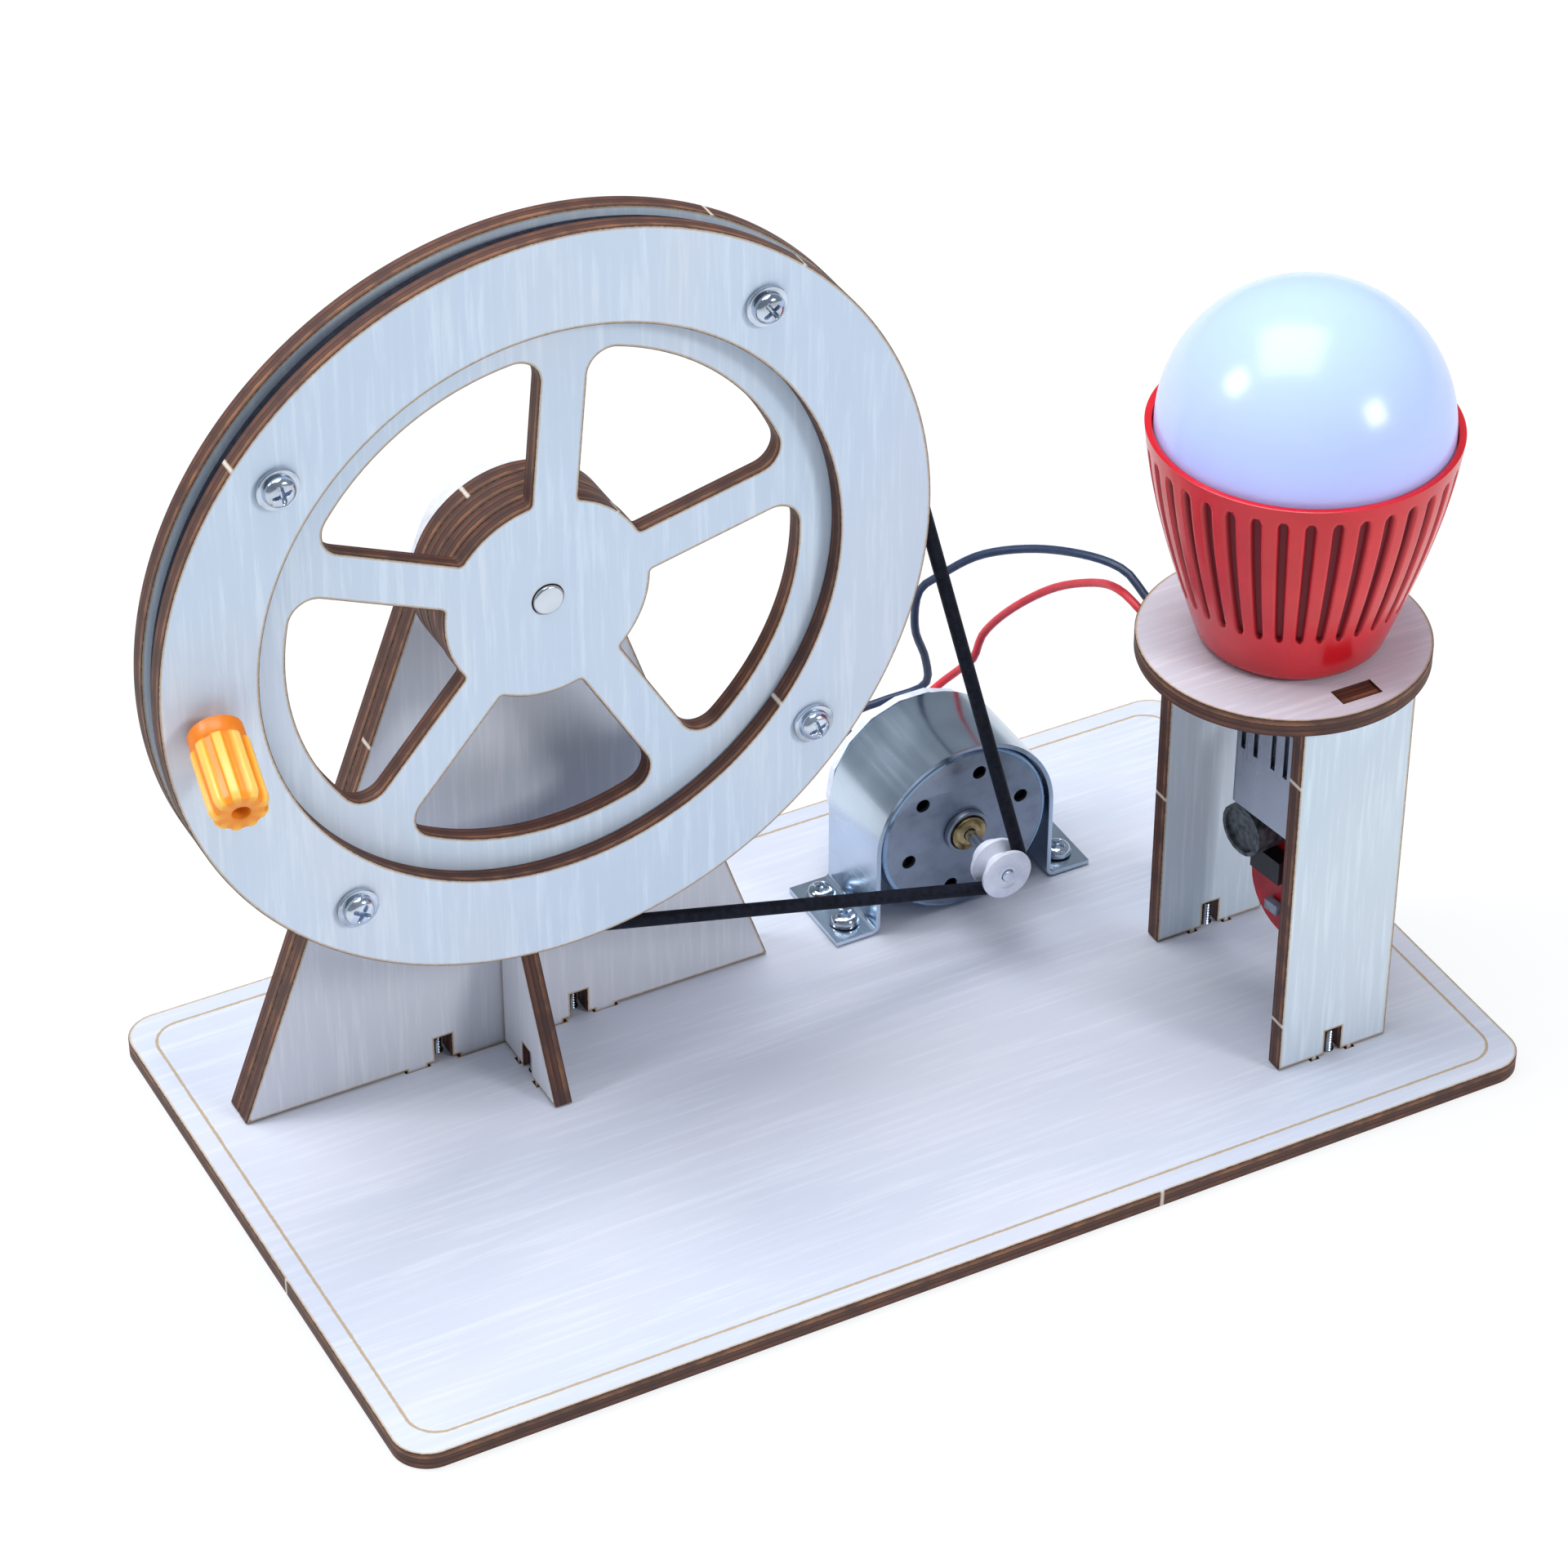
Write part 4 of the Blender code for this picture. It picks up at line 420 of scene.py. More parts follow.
def birch(name, stretch, pale, cool, border=None):
    """Bleached birch veneer with fine grain along one axis, scorched where it is cut."""
    look, shader = fresh_look(name, pale, 0.62)
    place = place_on(look)
    grain = noise(look, 900.0, 5.0, stretch, 0.62)
    broad = noise(look, 34.0, 3.0, tuple(0.35 + 0.65 * s for s in stretch))
    face = ramp(look, grain, [(0.30, tuple(c * 0.985 for c in cool)), (0.50, cool), (0.66, pale)])
    face = blend_colours(look, mask(look, broad, (0.38, 0), (0.70, 0.35)), face, shade(226, 223, 228))
    scorch = node(look, "Attribute", attribute_name="scorch").outputs["Fac"]
    depth = node(look, "Attribute", attribute_name="depth").outputs["Fac"]
    soot = noise(look, 1500.0, 3.0)
    uneven = maths(look, "SUBTRACT", soot, 0.5)
    level = maths(look, "MULTIPLY_ADD", uneven, 0.10, depth)
    plies = ramp(look, level, [
        (0.00, shade(40, 22, 20)), (0.10, shade(92, 52, 38)), (0.28, shade(112, 66, 44)),
        (0.34, shade(46, 24, 20)), (0.42, shade(76, 42, 32)), (0.58, shade(94, 54, 38)),
        (0.65, shade(42, 22, 18)), (0.72, shade(146, 98, 66)), (0.90, shade(112, 68, 46)),
        (1.00, shade(36, 20, 18))])
    charred = noise(look, 260.0, 4.0)
    plies = blend_colours(look, mask(look, charred, (0.36, 0.75), (0.64, 0)), plies, shade(60, 34, 30))
    edge = maths(look, "MULTIPLY_ADD", uneven, 0.35, scorch)
    tan = mask(look, edge, (0.06, 0), (0.46, 0.9))
    colour = blend_colours(look, tan, face, shade(190, 162, 128))
    colour = blend_colours(look, mask(look, edge, (0.62, 0), (0.86, 1)), colour, plies)
    height = maths(look, "MULTIPLY", grain, 0.5)
    if border:
        # distance from the rounded rectangle of the border: half sides, radius, lowest height
        flat = maths(look, "MULTIPLY", place, (1, 1, 0), kind="VectorMath")
        size = maths(look, "ABSOLUTE", flat, kind="VectorMath")
        past = maths(look, "SUBTRACT", size, (*border[:2], 0), kind="VectorMath")
        past = maths(look, "MAXIMUM", past, (0, 0, 0), kind="VectorMath")
        reach = node(look, "VectorMath", {0: past}, operation="LENGTH").outputs["Value"]
        away = maths(look, "SUBTRACT", reach, border[2])
        away = maths(look, "ABSOLUTE", away)
        away = maths(look, "MULTIPLY_ADD", away, 3200.0, uneven)
        height_up = node(look, "SeparateXYZ", {0: place}).outputs["Z"]
        top = maths(look, "GREATER_THAN", height_up, border[3])
        line = mask(look, away, (0.55, 1), (1.0, 0))
        only_top = node(look, "CombineXYZ", {0: top, 1: top, 2: top}).outputs[0]
        line = blend_colours(look, 1.0, line, only_top, "MULTIPLY")
        colour = blend_colours(look, line, colour, shade(178, 156, 128))
        height = maths(look, "SUBTRACT", height, line)
    wire(look, colour, shader, "Base Color")
    relief(look, shader, height, 0.06, 0.0002)
    rough_from(look, shader, broad, {3: 0.52, 4: 0.74})
    return look


PLY = 0.003
FRONT = ((1, 0, 0), (0, 0, 1), (0, -1, 0))
LYING = ((1, 0, 0), (0, 1, 0), (0, 0, 1))
SIDEWAYS = ((0, 1, 0), (0, 0, 1), (1, 0, 0))
prong_room = 0.0028
slack = 0.0003


def plywood(name, node_name, outline, holes, spot, facing, look, body="frame", **cuts):
    """One sheet of plywood in its place on its body."""
    mesh = cut_sheet(name, outline, holes, PLY, spot, *facing, **cuts)
    settle(name, mesh, look, body, [node_name])


def prongs(low, high, slots):
    """The stretches of a foot's tab that are left beside its screw slots."""
    edges = [low]
    for slot in slots:
        edges += [slot - prong_room, slot + prong_room]
    edges.append(high)
    return list(zip(edges[0::2], edges[1::2]))


def slots_for(x, y, width, low, high, slots, along_y=False):
    """Slots in the base that take one foot's prongs, with a little slack all round."""
    made, half = [], width / 2 + slack
    for start, end in prongs(low, high, slots):
        if along_y:
            made.append(box_line((x - half, y + start - slack), (x + half, y + end + slack)))
        else:
            made.append(box_line((x + start - slack, y - half), (x + end + slack, y + half)))
    return made


half_long, half_deep = 0.1, 0.0575
wide_tab, narrow_tab, screw_off = 0.0188, 0.0039, 0.0122
support_x, support_y, rib_y = -0.0442, 0.02755, 0.0154
leg_x, front_leg_y, rear_leg_y = 0.072, -0.0397, -0.0020
foot_screws = [(support_x - screw_off, support_y), (support_x + screw_off, support_y),
               (support_x, rib_y), (leg_x, front_leg_y), (leg_x, rear_leg_y)]
strap_screws = [(motor_x + side * 0.0206, y) for side in (-1, 1) for y in (0.0247, 0.0329)]
base_holes = slots_for(support_x, support_y, 0.0063, -wide_tab, wide_tab,
                       (-screw_off, screw_off))
base_holes += slots_for(support_x, rib_y, PLY, -narrow_tab, narrow_tab, (0,), True)
base_holes += slots_for(leg_x, front_leg_y, PLY, -narrow_tab, narrow_tab, (0,))
base_holes += slots_for(leg_x, rear_leg_y, PLY, -narrow_tab, narrow_tab, (0,))
base_holes += [ring_line(0.0013, 20, spot) for spot in strap_screws]
first_seat = len(base_holes)
base_holes += [ring_line(0.00115, 20, spot) for spot in foot_screws]
border_in, border_radius = 0.0038, 0.005
# The base's birch tones are darker than the standing parts' to offset the stronger light on its flat top:
# painted shade.
dimmed_base_wood = birch("birch_base", (0.05, 1.0, 1.0), shade(208, 211, 224), shade(198, 202, 217),
                  (half_long - border_in - border_radius, half_deep - border_in - border_radius,
                   border_radius, 0.0028))
base_line = round_corners(box_line((-half_long, -half_deep), (half_long, half_deep)), 0.006, 24)
plywood("birch_base_plate", "base_plate", base_line, base_holes, (0, 0, 0), LYING, dimmed_base_wood,
        nibs=[(-half_long, -0.012), (0.03, -half_deep), (half_long, 0.02)],
        sinks=[(first_seat + i, 0.00105) for i in range(len(foot_screws))])


# Wheel support: two A-shaped plywood plates side by side, tabbed into the base.
# Their round head carries the axle, and a screw from below sits in each slot of the foot.
def foot_line(low, high, tab_low, tab_high, slots):
    """Lower edge of a standing plate, left to right, with its prongs and screw slots."""
    shoulder, tip, roof, half = PLY + slack, 0.0002, PLY + 0.005, 0.0015
    line = [(low, shoulder), (tab_low, shoulder)]
    for i, (start, end) in enumerate(prongs(tab_low, tab_high, slots)):
        if i:
            middle = slots[i - 1]
            line += [(middle - half, shoulder), (middle - half, roof), (middle + half, roof),
                     (middle + half, shoulder), (start, shoulder)]
        line += [(start, tip), (end, tip)]
        if i < len(slots):
            line.append((end, shoulder))
    return line + [(tab_high, shoulder), (high, shoulder)]


wheel_x, wheel_z = -0.042, 0.0984
hub_at = np.array((wheel_x - support_x, wheel_z))
head_radius, bore_radius, screw_hole = 0.012, 0.00265, 0.00155


def touch_angle(corner, side):
    """Angle on the head's circle where a straight flank from the corner touches it."""
    away = np.array(corner) - hub_at
    return math.atan2(away[1], away[0]) + side * math.acos(head_radius / np.linalg.norm(away))


half_foot = 0.0469
head = np.linspace(touch_angle((half_foot, PLY + slack), 1),
                   touch_angle((-half_foot, PLY + slack), -1) + TURN, 60)
support_line = foot_line(-half_foot, half_foot, -wide_tab, wide_tab, (-screw_off, screw_off))
support_line += arc(head_radius, head, hub_at).tolist()
support_wood = birch("birch_support", (1.0, 1.0, 0.05), shade(218, 218, 224), shade(206, 207, 216))
# The scorched edge round the top of each plate's head is painted pale, a painted highlight where it
# catches the light.
for name, back, marks in (
        ("support_plate_front", 0.0274, [(-0.0215, 0.0691), (0.035, 0.036)]),
        ("support_plate_rear", 0.0307, [(-0.0220, 0.0647)])):
    plywood("birch_" + name, name, support_line, [ring_line(bore_radius, 36, hub_at)],
            (support_x, back, 0), FRONT, support_wood, nibs=marks,
            bare=((hub_at[0] - 0.004, wheel_z + 0.006), 0.0125))

# Rib: a slanted plywood gusset that stands square to the support and stiffens it,
# with a tab in the base and its own screw slot.
rib_line = foot_line(0.0050, 0.0241, rib_y - narrow_tab, rib_y + narrow_tab, (rib_y,))
rib_line += [(0.0241, 0.0418), (0.0233, 0.0418)]
plywood("birch_rib", "rib_gusset", rib_line, [], (support_x - PLY / 2, 0, 0), SIDEWAYS, support_wood,
        nibs=[(0.0116, 0.0206)])

# Flywheel: three plywood layers. The spoked middle layer is smaller than the two rings,
# which makes the belt's groove. Three discs and a bush hold it off the support.
wheel_wood = birch("birch_wheel", (1.0, 1.0, 0.06), shade(216, 227, 240), shade(203, 216, 232))
ring_outer, ring_inner, wheel_radius, spacer_radius = 0.0638, 0.0481, 0.0604, 0.0169
screw_spots = arc(0.0557, math.radians(50.9) + whole_turn(4))
screw_holes = [ring_line(screw_hole, 16, spot) for spot in screw_spots]
hub_hole = [ring_line(bore_radius, 36)]
for name, back, marks in (
        ("front_ring", 0.0091, [(-0.0499, 0.0398), (0.0420, 0.0482), (0.0378, -0.0297)]),
        ("rear_ring", 0.0157, [(0.0300, 0.0563)])):
    plywood("birch_" + name, name, ring_line(ring_outer, 800), [ring_line(ring_inner, 600)] + screw_holes,
            (wheel_x, back, wheel_z), FRONT, wheel_wood, "flywheel", nibs=marks)

# Each window is two arcs and four fillets: spoke_half is half a spoke's width, and an
# inset is the angle from the spoke's middle line to a fillet's middle.
window_lines = []
window_radius, hub_radius, spoke_half = 0.0426, 0.0171, 0.0038
fillet_out, fillet_in = 0.0040, 0.0008
reach_out, reach_in = window_radius - fillet_out, hub_radius + fillet_in
inset_out = math.asin((spoke_half + fillet_out) / reach_out)
inset_in = math.asin((spoke_half + fillet_in) / reach_in)
quarter = math.pi / 2
for start in math.radians(84.4) + whole_turn(5):
    end = start + TURN / 5
    fillets = [
        (fillet_out, np.linspace(end - inset_out, end + quarter, 14)[1:], reach_out, end - inset_out),
        (fillet_in, np.linspace(end + quarter, end - inset_in + math.pi, 10), reach_in, end - inset_in),
        (fillet_in, np.linspace(start + inset_in + math.pi, start + 3 * quarter, 10)[1:],
         reach_in, start + inset_in),
        (fillet_out, np.linspace(start - quarter, start + inset_out, 14)[:-1],
         reach_out, start + inset_out)]
    bends = [arc(radius, angles, arc(reach, at)) for radius, angles, reach, at in fillets]
    rim = arc(window_radius, np.linspace(start + inset_out, end - inset_out, 60))
    hub = arc(hub_radius, np.linspace(end - inset_in, start + inset_in, 30)[1:])
    window_lines.append(np.vstack([rim, *bends[:2], hub, *bends[2:]]))
plywood("birch_spoke_wheel", "spoke_wheel", ring_line(wheel_radius, 760),
        window_lines + hub_hole + screw_holes, (wheel_x, 0.0124, wheel_z), FRONT, wheel_wood,
        "flywheel", nibs=[(0.0120, 0.0122)])
for number, (back, marks) in enumerate(
        ((0.0157, ()), (0.0190, ()), (0.0223, [(-0.0080, 0.0149)])), start=1):
    plywood("birch_spacer_%d" % number, "spacer_disc_%d" % number,
            ring_line(spacer_radius, 220), hub_hole, (wheel_x, back, wheel_z), FRONT, wheel_wood, "flywheel", nibs=marks)

# Lamp stand: two plywood legs and a round disc. A tab of each leg shows in the disc's top
# as a small brown rectangle, and each foot has a slot with a screw from below.
leg_wood = birch("birch_legs", (1.0, 1.0, 0.05), shade(214, 225, 234), shade(198, 210, 220))
half_leg, half_tenon, leg_top, tenon_top = 0.0102, 0.00325, 0.0710, 0.0741
leg_line = foot_line(-half_leg, half_leg, -narrow_tab, narrow_tab, (0,))
leg_line += [(half_leg, leg_top), (half_tenon, leg_top), (half_tenon, tenon_top),
             (-half_tenon, tenon_top), (-half_tenon, leg_top), (-half_leg, leg_top)]
for name, back, marks in (("front_leg", -0.0382, [(-half_leg, 0.0125), (-half_leg, 0.0600)]),
                          ("rear_leg", -0.0005, [(-half_leg, 0.0328)])):
    plywood("birch_" + name, name, leg_line, [], (leg_x, back, 0), FRONT, leg_wood, nibs=marks)
disc_at = np.array((0.0705, -0.0212))
lamp_turn = math.radians(8)
swing = arc(1.0, np.array((lamp_turn, lamp_turn + math.pi / 2)))
neck_hole = round_corners(box_line((-0.0043, -0.0078), (0.0043, 0.0078)), 0.0018, 5)
disc_holes = [neck_hole @ swing + lamp_at - disc_at]
for leg_y in (front_leg_y, rear_leg_y):
    middle = np.array((leg_x, leg_y)) - disc_at
    disc_holes.append(box_line(middle - (0.00355, 0.0018), middle + (0.00355, 0.0018)))
disc_wood = birch("birch_disc", (0.06, 1.0, 1.0), shade(224, 220, 230), shade(206, 204, 216))
plywood("birch_lamp_disc", "lamp_disc", ring_line(0.0234, 300), disc_holes, (*disc_at, 0.0713), LYING,
        disc_wood)


# Axle: a bright steel pin through the hub, its chamfered end seen in the middle.
# Behind the support a steel collar keeps it in place, and a plastic bush spaces the wheel.
def skin(name, grid):
    """Mesh over a grid of points that closes on itself in its second direction; rows whose
    points all meet become poles."""
    rows, columns = grid.shape[:2]
    index = np.arange(rows * columns).reshape(rows, columns)
    on = np.roll(index, -1, 1)
    faces = np.stack([index[:-1], on[:-1], on[1:], index[1:]], -1).reshape(-1, 4)
    mesh = bpy.data.meshes.new(name)
    mesh.from_pydata(grid.reshape(-1, 3).tolist(), [], faces.tolist())
    return mesh


def round_about(out, angles):
    """Directions square to an axis, at the given angles round it."""
    side = np.cross(out, (0, 0, 1) if abs(out[2]) < 0.9 else (1, 0, 0))
    side /= np.linalg.norm(side)
    return np.cos(angles)[:, None] * side + np.sin(angles)[:, None] * np.cross(out, side)


def turned(profile, steps, origin, out):
    """Surface of revolution: each (radius, height) of the profile runs once round the axis."""
    out = np.array(out, float) / np.linalg.norm(out)
    radius, height = np.array(profile, float).T
    return (np.array(origin) + radius[:, None, None] * round_about(out, whole_turn(steps))
            + height[:, None, None] * out)


def lathe(name, profile, steps, origin, out, look, body, nodes=(), crease=35):
    """A turned piece, settled on its body."""
    return settle(name, skin(name, turned(profile, steps, origin, out)), look, body, nodes, crease)


def eased(profile, radius, steps=4):
    """A profile whose inner corners are rounded, its two ends kept."""
    profile = np.array(profile, float)
    radii = np.zeros(len(profile))
    radii[1:-1] = radius
    return round_corners(profile, radii, steps)


def steel(name, tone, rough, scale=700.0, stretch=(1, 1, 1), blotch=0.12, mottle=60.0):
    """Zinc plated steel: brushed streaks and soft blotches, in colour and in gleam."""
    look, shader = fresh_look(name, tone, rough, 1.0)
    streak = noise(look, scale, 4.0, stretch)
    cloud = noise(look, mottle, 3.0)
    dim = tuple(c * (1 - blotch * 2) for c in tone)
    lit_tone = tuple(min(1, c * (1 + blotch)) for c in tone)
    wire(look, ramp(look, cloud, [(0.3, dim), (0.5, tone), (0.7, lit_tone)]), shader, "Base Color")
    mixed = maths(look, "ADD", streak, cloud)
    rough_from(look, shader, mixed, {1: 0.6, 2: 1.4, 3: rough * 0.7, 4: rough * 1.4})
    relief(look, shader, streak, 0.10, 0.0001)
    return look


BACK_TO_FRONT = (0, -1, 0)
bright = steel("bright_zinc", shade(214, 222, 232), 0.20)
axle_radius = 0.0025
axle = eased([(0, 0), (axle_radius, 0), (axle_radius, 0.0276), (0, 0.0276)], 0.0004)
lathe("axle_pin", axle, 64, (wheel_x, 0.0364, wheel_z), BACK_TO_FRONT, bright,
      "flywheel", ["axle"])
collar = eased([(bore_radius, 0.002), (bore_radius, 0), (0.0052, 0), (0.0052, 0.004),
                (bore_radius, 0.004), (bore_radius, 0.002)], 0.0004)
lathe("axle_collar", collar, 64, (wheel_x, 0.0350, wheel_z), BACK_TO_FRONT, bright,
      "flywheel", ["rear_collar"])


# Screws: pan heads on a washer flange with a cross recess hold the three wheel layers,
# with hexagon nuts behind, and the same pan heads hold the motor's strap.
def hoop(radius, level, angles):
    """A level ring of points; the radius may change round it."""
    return np.stack([radius * np.cos(angles), radius * np.sin(angles), np.full(len(angles), level)], -1)


def cross_head(radius, height, flange, lift):
    """Rows of (radius, height) over the angle: a dome with a cross pressed into its top.
    The recess is where a point is near either of two crossed lines, deeper to the middle."""
    steps, rings = 72, 22
    angles = whole_turn(steps)
    reach = np.concatenate([np.linspace(0, 0.97, rings), [1.0]]) * radius
    x, y = reach[:, None] * np.cos(angles), reach[:, None] * np.sin(angles)
    dome = lift + (height - lift) * np.sqrt(np.maximum(1 - (reach[:, None] / radius) ** 4, 0.0))
    slim, long = radius * 0.13, radius * 0.62
    arms = [np.clip((slim - np.abs(over)) / (slim * 0.5), 0, 1)
            * np.clip((long - np.abs(along)) / (radius * 0.2), 0, 1)
            for over, along in ((x, y), (y, x))]
    arm = np.maximum(*arms)
    top = dome - arm * (height - lift) * 0.62
    rows = [np.stack([x, y, np.broadcast_to(top, x.shape)], -1)]
    rim = ((radius, lift), (flange - 0.0001, lift), (flange, lift - 0.0001), (flange, 0.0))
    rows += [hoop(ring, level, angles)[None] for ring, level in rim]
    return np.vstack(rows)


def thread_rows(core, crest, start, end, pitch, steps):
    """A screw thread: the radius rises and falls once per pitch, one turn ahead per turn."""
    angles = whole_turn(steps)
    levels = np.arange(start, end, pitch / 6)
    wave = (levels[:, None] / pitch - angles / TURN) % 1.0
    radius = core + (crest - core) * (1 - np.abs(2 * wave - 1))
    return np.stack([radius * np.cos(angles), radius * np.sin(angles),
                     np.broadcast_to(levels[:, None], radius.shape)], -1)


def stand(rows, origin, across, upward, out):
    return np.array(origin) + rows @ np.array([across, upward, out], float)


def close_rows(rows, level):
    """Add a pole under the last row."""
    return np.vstack([rows, np.broadcast_to(np.array((0, 0, level)), (1, *rows.shape[1:]))])


def twisted(degrees):
    """Two unit directions square to each other, the first turned by the angle."""
    return arc(1.0, math.radians(degrees) + np.array((0, math.pi / 2)))


def pan_screw(name, head_shape, core, crest, end, point, spot, axes, body, node_name):
    """A cross-head screw whose thread runs to end and whose shank closes at point."""
    top = cross_head(*head_shape)
    shank = thread_rows(core, crest, end, 0.0, 0.0005, top.shape[1])[::-1]
    rows = close_rows(np.vstack([top, shank]), point)
    settle(name, skin(name, stand(rows, spot, *axes)), screw_zinc, body, [node_name])


screw_zinc = steel("screw_zinc", shade(196, 206, 220), 0.16, mottle=240.0, blotch=0.2)
nut_turn = whole_turn(72)
sixth = math.pi / 6
flats = 0.0031 * math.cos(sixth) / np.cos((nut_turn + sixth) % (2 * sixth) - sixth)
nut_inner, nut_bevel = 0.00145, np.minimum(flats, 0.0026)
nut = np.array([hoop(radius, level, nut_turn) for radius, level in (
    (nut_inner, 0), (nut_bevel, 0), (flats, 0.0002), (flats, 0.0020), (nut_bevel, 0.0022),
    (nut_inner, 0.0022), (nut_inner, 0))])
for number, ((x, z), degrees) in enumerate(zip(screw_spots, (35, 12, 60, 20)), start=1):
    spun = [(flat_x, 0, flat_z) for flat_x, flat_z in twisted(degrees)] + [(0, -1, 0)]
    x, z = wheel_x + x, wheel_z + z
    pan_screw("ring_screw_%d_body" % number, (0.0026, 0.0022, 0.0034, 0.0006), 0.00115, 0.0014,
              -0.0128, -0.0130, (x, 0.0058, z), spun, "flywheel", "ring_screw_%d" % number)
    mesh = skin("ring_nut_%d" % number, stand(nut, (x, 0.0182, z), *spun))
    settle("ring_nut_%d" % number, mesh, screw_zinc, "flywheel")

for number, ((x, y), degrees) in enumerate(zip(strap_screws, (10, 50, 30, 75)), start=1):
    spun = [(flat_x, flat_y, 0) for flat_x, flat_y in twisted(degrees)] + [(0, 0, 1)]
    pan_screw("strap_screw_%d" % number, (0.0024, 0.0016, 0.0025, 0.0003), 0.0009, 0.0012,
              -0.0035, -0.0036, (x, y, 0.0044), spun, "frame", "bracket_screw_%d" % number)

foot_turn = whole_turn(48)
foot_head = np.array([hoop(radius, level, foot_turn) for radius, level in (
    (0, 0.0002), (0.0019, 0.0002), (0.0019, 0.00035), (0.0009, 0.0011))])
foot_thread = thread_rows(0.00072, 0.0010, 0.0013, 0.0071, 0.00055, len(foot_turn))
foot_rows = close_rows(np.vstack([foot_head, foot_thread]), 0.0072)
for number, (x, y) in enumerate(foot_screws, start=1):
    mesh = skin("foot_screw_%d_body" % number, foot_rows + (x, y, 0))
    settle("foot_screw_%d_body" % number, mesh, screw_zinc, "frame",
           ["foot_screw_%d" % number])


# Crank knob: orange moulded plastic on a screw that leans out of the wheel. Its collar is
# smooth and darker; ribs run along the body, painted paler on their crests (painted highlight)
# and darker in their grooves (painted shade), and the screw sits in a deep end hole.
def ribbed_plastic():
    """Orange plastic, painted paler on the rib crests as a painted highlight and darker and redder in the
    grooves as painted shade; the collar takes the same darker tone.
    """
    look, shader = fresh_look("orange_knob", shade(250, 160, 20), 0.36)
    rib_light_and_shade = node(look, "Attribute", attribute_name="rib_light_and_shade").outputs["Fac"]
    fleck = noise(look, 1400.0, 3.0)
    mixed = maths(look, "MULTIPLY_ADD", fleck, 0.12, rib_light_and_shade)
    wire(look, ramp(look, mixed, [(0.08, shade(240, 130, 22)), (0.38, shade(242, 150, 14)),
                                  (0.70, shade(246, 172, 40)), (1.0, shade(250, 192, 92))]),
         shader, "Base Color")
    shader.inputs["Subsurface Weight"].default_value = 0.12
    shader.inputs["Subsurface Radius"].default_value = (0.004, 0.002, 0.001)
    relief(look, shader, fleck, 0.08, 0.0001)
    return look


lean = np.array((-0.143063, -0.945961, -0.291016))
# Radius, height along the screw and share of the ribs at that height.
knob_profile = np.array([
    (0.00125, 0.00188, 0.0), (0.0043, 0.00188, 0.0), (0.0046, 0.0021, 0.0), (0.0046, 0.0045, 0.0),
    (0.0044, 0.00475, 0.0), (0.0047, 0.0050, 0.7), (0.0049, 0.0053, 1.0), (0.0049, 0.0105, 1.0),
    (0.0049, 0.0158, 1.0), (0.0047, 0.0165, 1.0), (0.0042, 0.01708, 0.85), (0.0031, 0.01708, 0.3),
    (0.0017, 0.01708, 0.0), (0.0015, 0.0169, 0.0), (0.0015, 0.01358, 0.0), (0.00125, 0.01358, 0.0),
    (0.00125, 0.00188, 0.0)])
rib_count, rib_depth, slimmer = 9, 0.13, 0.93
angles = whole_turn(180)
rib_wave = np.clip(0.5 + 0.9 * np.cos(rib_count * angles), 0, 1)
rib_wave = rib_wave * rib_wave * (3 - 2 * rib_wave)
radius = knob_profile[:, :1] * slimmer * (1 - (1 - rib_wave) * knob_profile[:, 2:] * rib_depth)
knob_foot = np.array((-0.097872, 0.0061, 0.096644))
knob_grid = (knob_foot + radius[:, :, None] * round_about(lean, angles)
             + knob_profile[:, 1, None, None] * lean)
mesh = skin("ribbed_crank_knob", knob_grid)
# painted light: highest on the rib crests, lowest in the grooves, and none on the collar
rib_light_and_shade = 0.15 + 0.85 * rib_wave * knob_profile[:, 2:]
rib_light_and_shade[:5] = 0.0
mark_points(mesh, "rib_light_and_shade", rib_light_and_shade.ravel())
settle("ribbed_crank_knob", mesh, ribbed_plastic(), "knob", ["crank_knob"], 50)

# Drive belt: one round black rubber cord. It lies in the wheel's groove, runs straight to
# the small pulley and back, and is slightly fuzzy and matt.
belt_radius = 0.00115
groove_radius, pulley_radius = 0.06185, 0.0038
wheel_at, motor_at = np.array((wheel_x, wheel_z)), np.array((motor_x, motor_z))
span = motor_at - wheel_at
slant = math.atan2(span[1], span[0])
touch = math.acos((groove_radius - pulley_radius) / np.linalg.norm(span))
big = np.linspace(slant + touch, slant - touch + TURN, 240)
small = np.linspace(slant - touch, slant + touch, 40)
big_arc = np.insert(arc(groove_radius, big, wheel_at), 1, 0.0109, axis=1)
small_arc = np.insert(arc(pulley_radius, small, motor_at), 1, 0.0087, axis=1)
run = np.linspace(0, 1, 60)[1:-1, None]
belt_line = np.vstack([big_arc, big_arc[-1] + (small_arc[0] - big_arc[-1]) * run, small_arc,
                       small_arc[-1] + (big_arc[0] - small_arc[-1]) * run])
along = np.roll(belt_line, -1, 0) - np.roll(belt_line, 1, 0)
along /= np.linalg.norm(along, axis=1, keepdims=True)
flat_way = np.cross(along, (0, 1, 0))
flat_way /= np.linalg.norm(flat_way, axis=1, keepdims=True)
third = np.cross(flat_way, along)
angles = whole_turn(16)
belt_grid = belt_line + belt_radius * (
    np.cos(angles)[:, None, None] * flat_way + np.sin(angles)[:, None, None] * third)
rubber, rubber_shader = fresh_look("black_rubber_cord", shade(20, 24, 36), 0.7)
rubber_shader.inputs["Specular IOR Level"].default_value = 0.15
dust = noise(rubber, 900.0, 4.0)
two_tone(rubber, rubber_shader, dust, shade(12, 14, 24), shade(28, 32, 46))
relief(rubber, rubber_shader, dust, 0.25, 0.0002)
belt_mesh = skin("rubber_belt", np.vstack([belt_grid, belt_grid[:1]]))
settle("rubber_belt", belt_mesh, rubber, "frame", ["drive_belt"], 180)

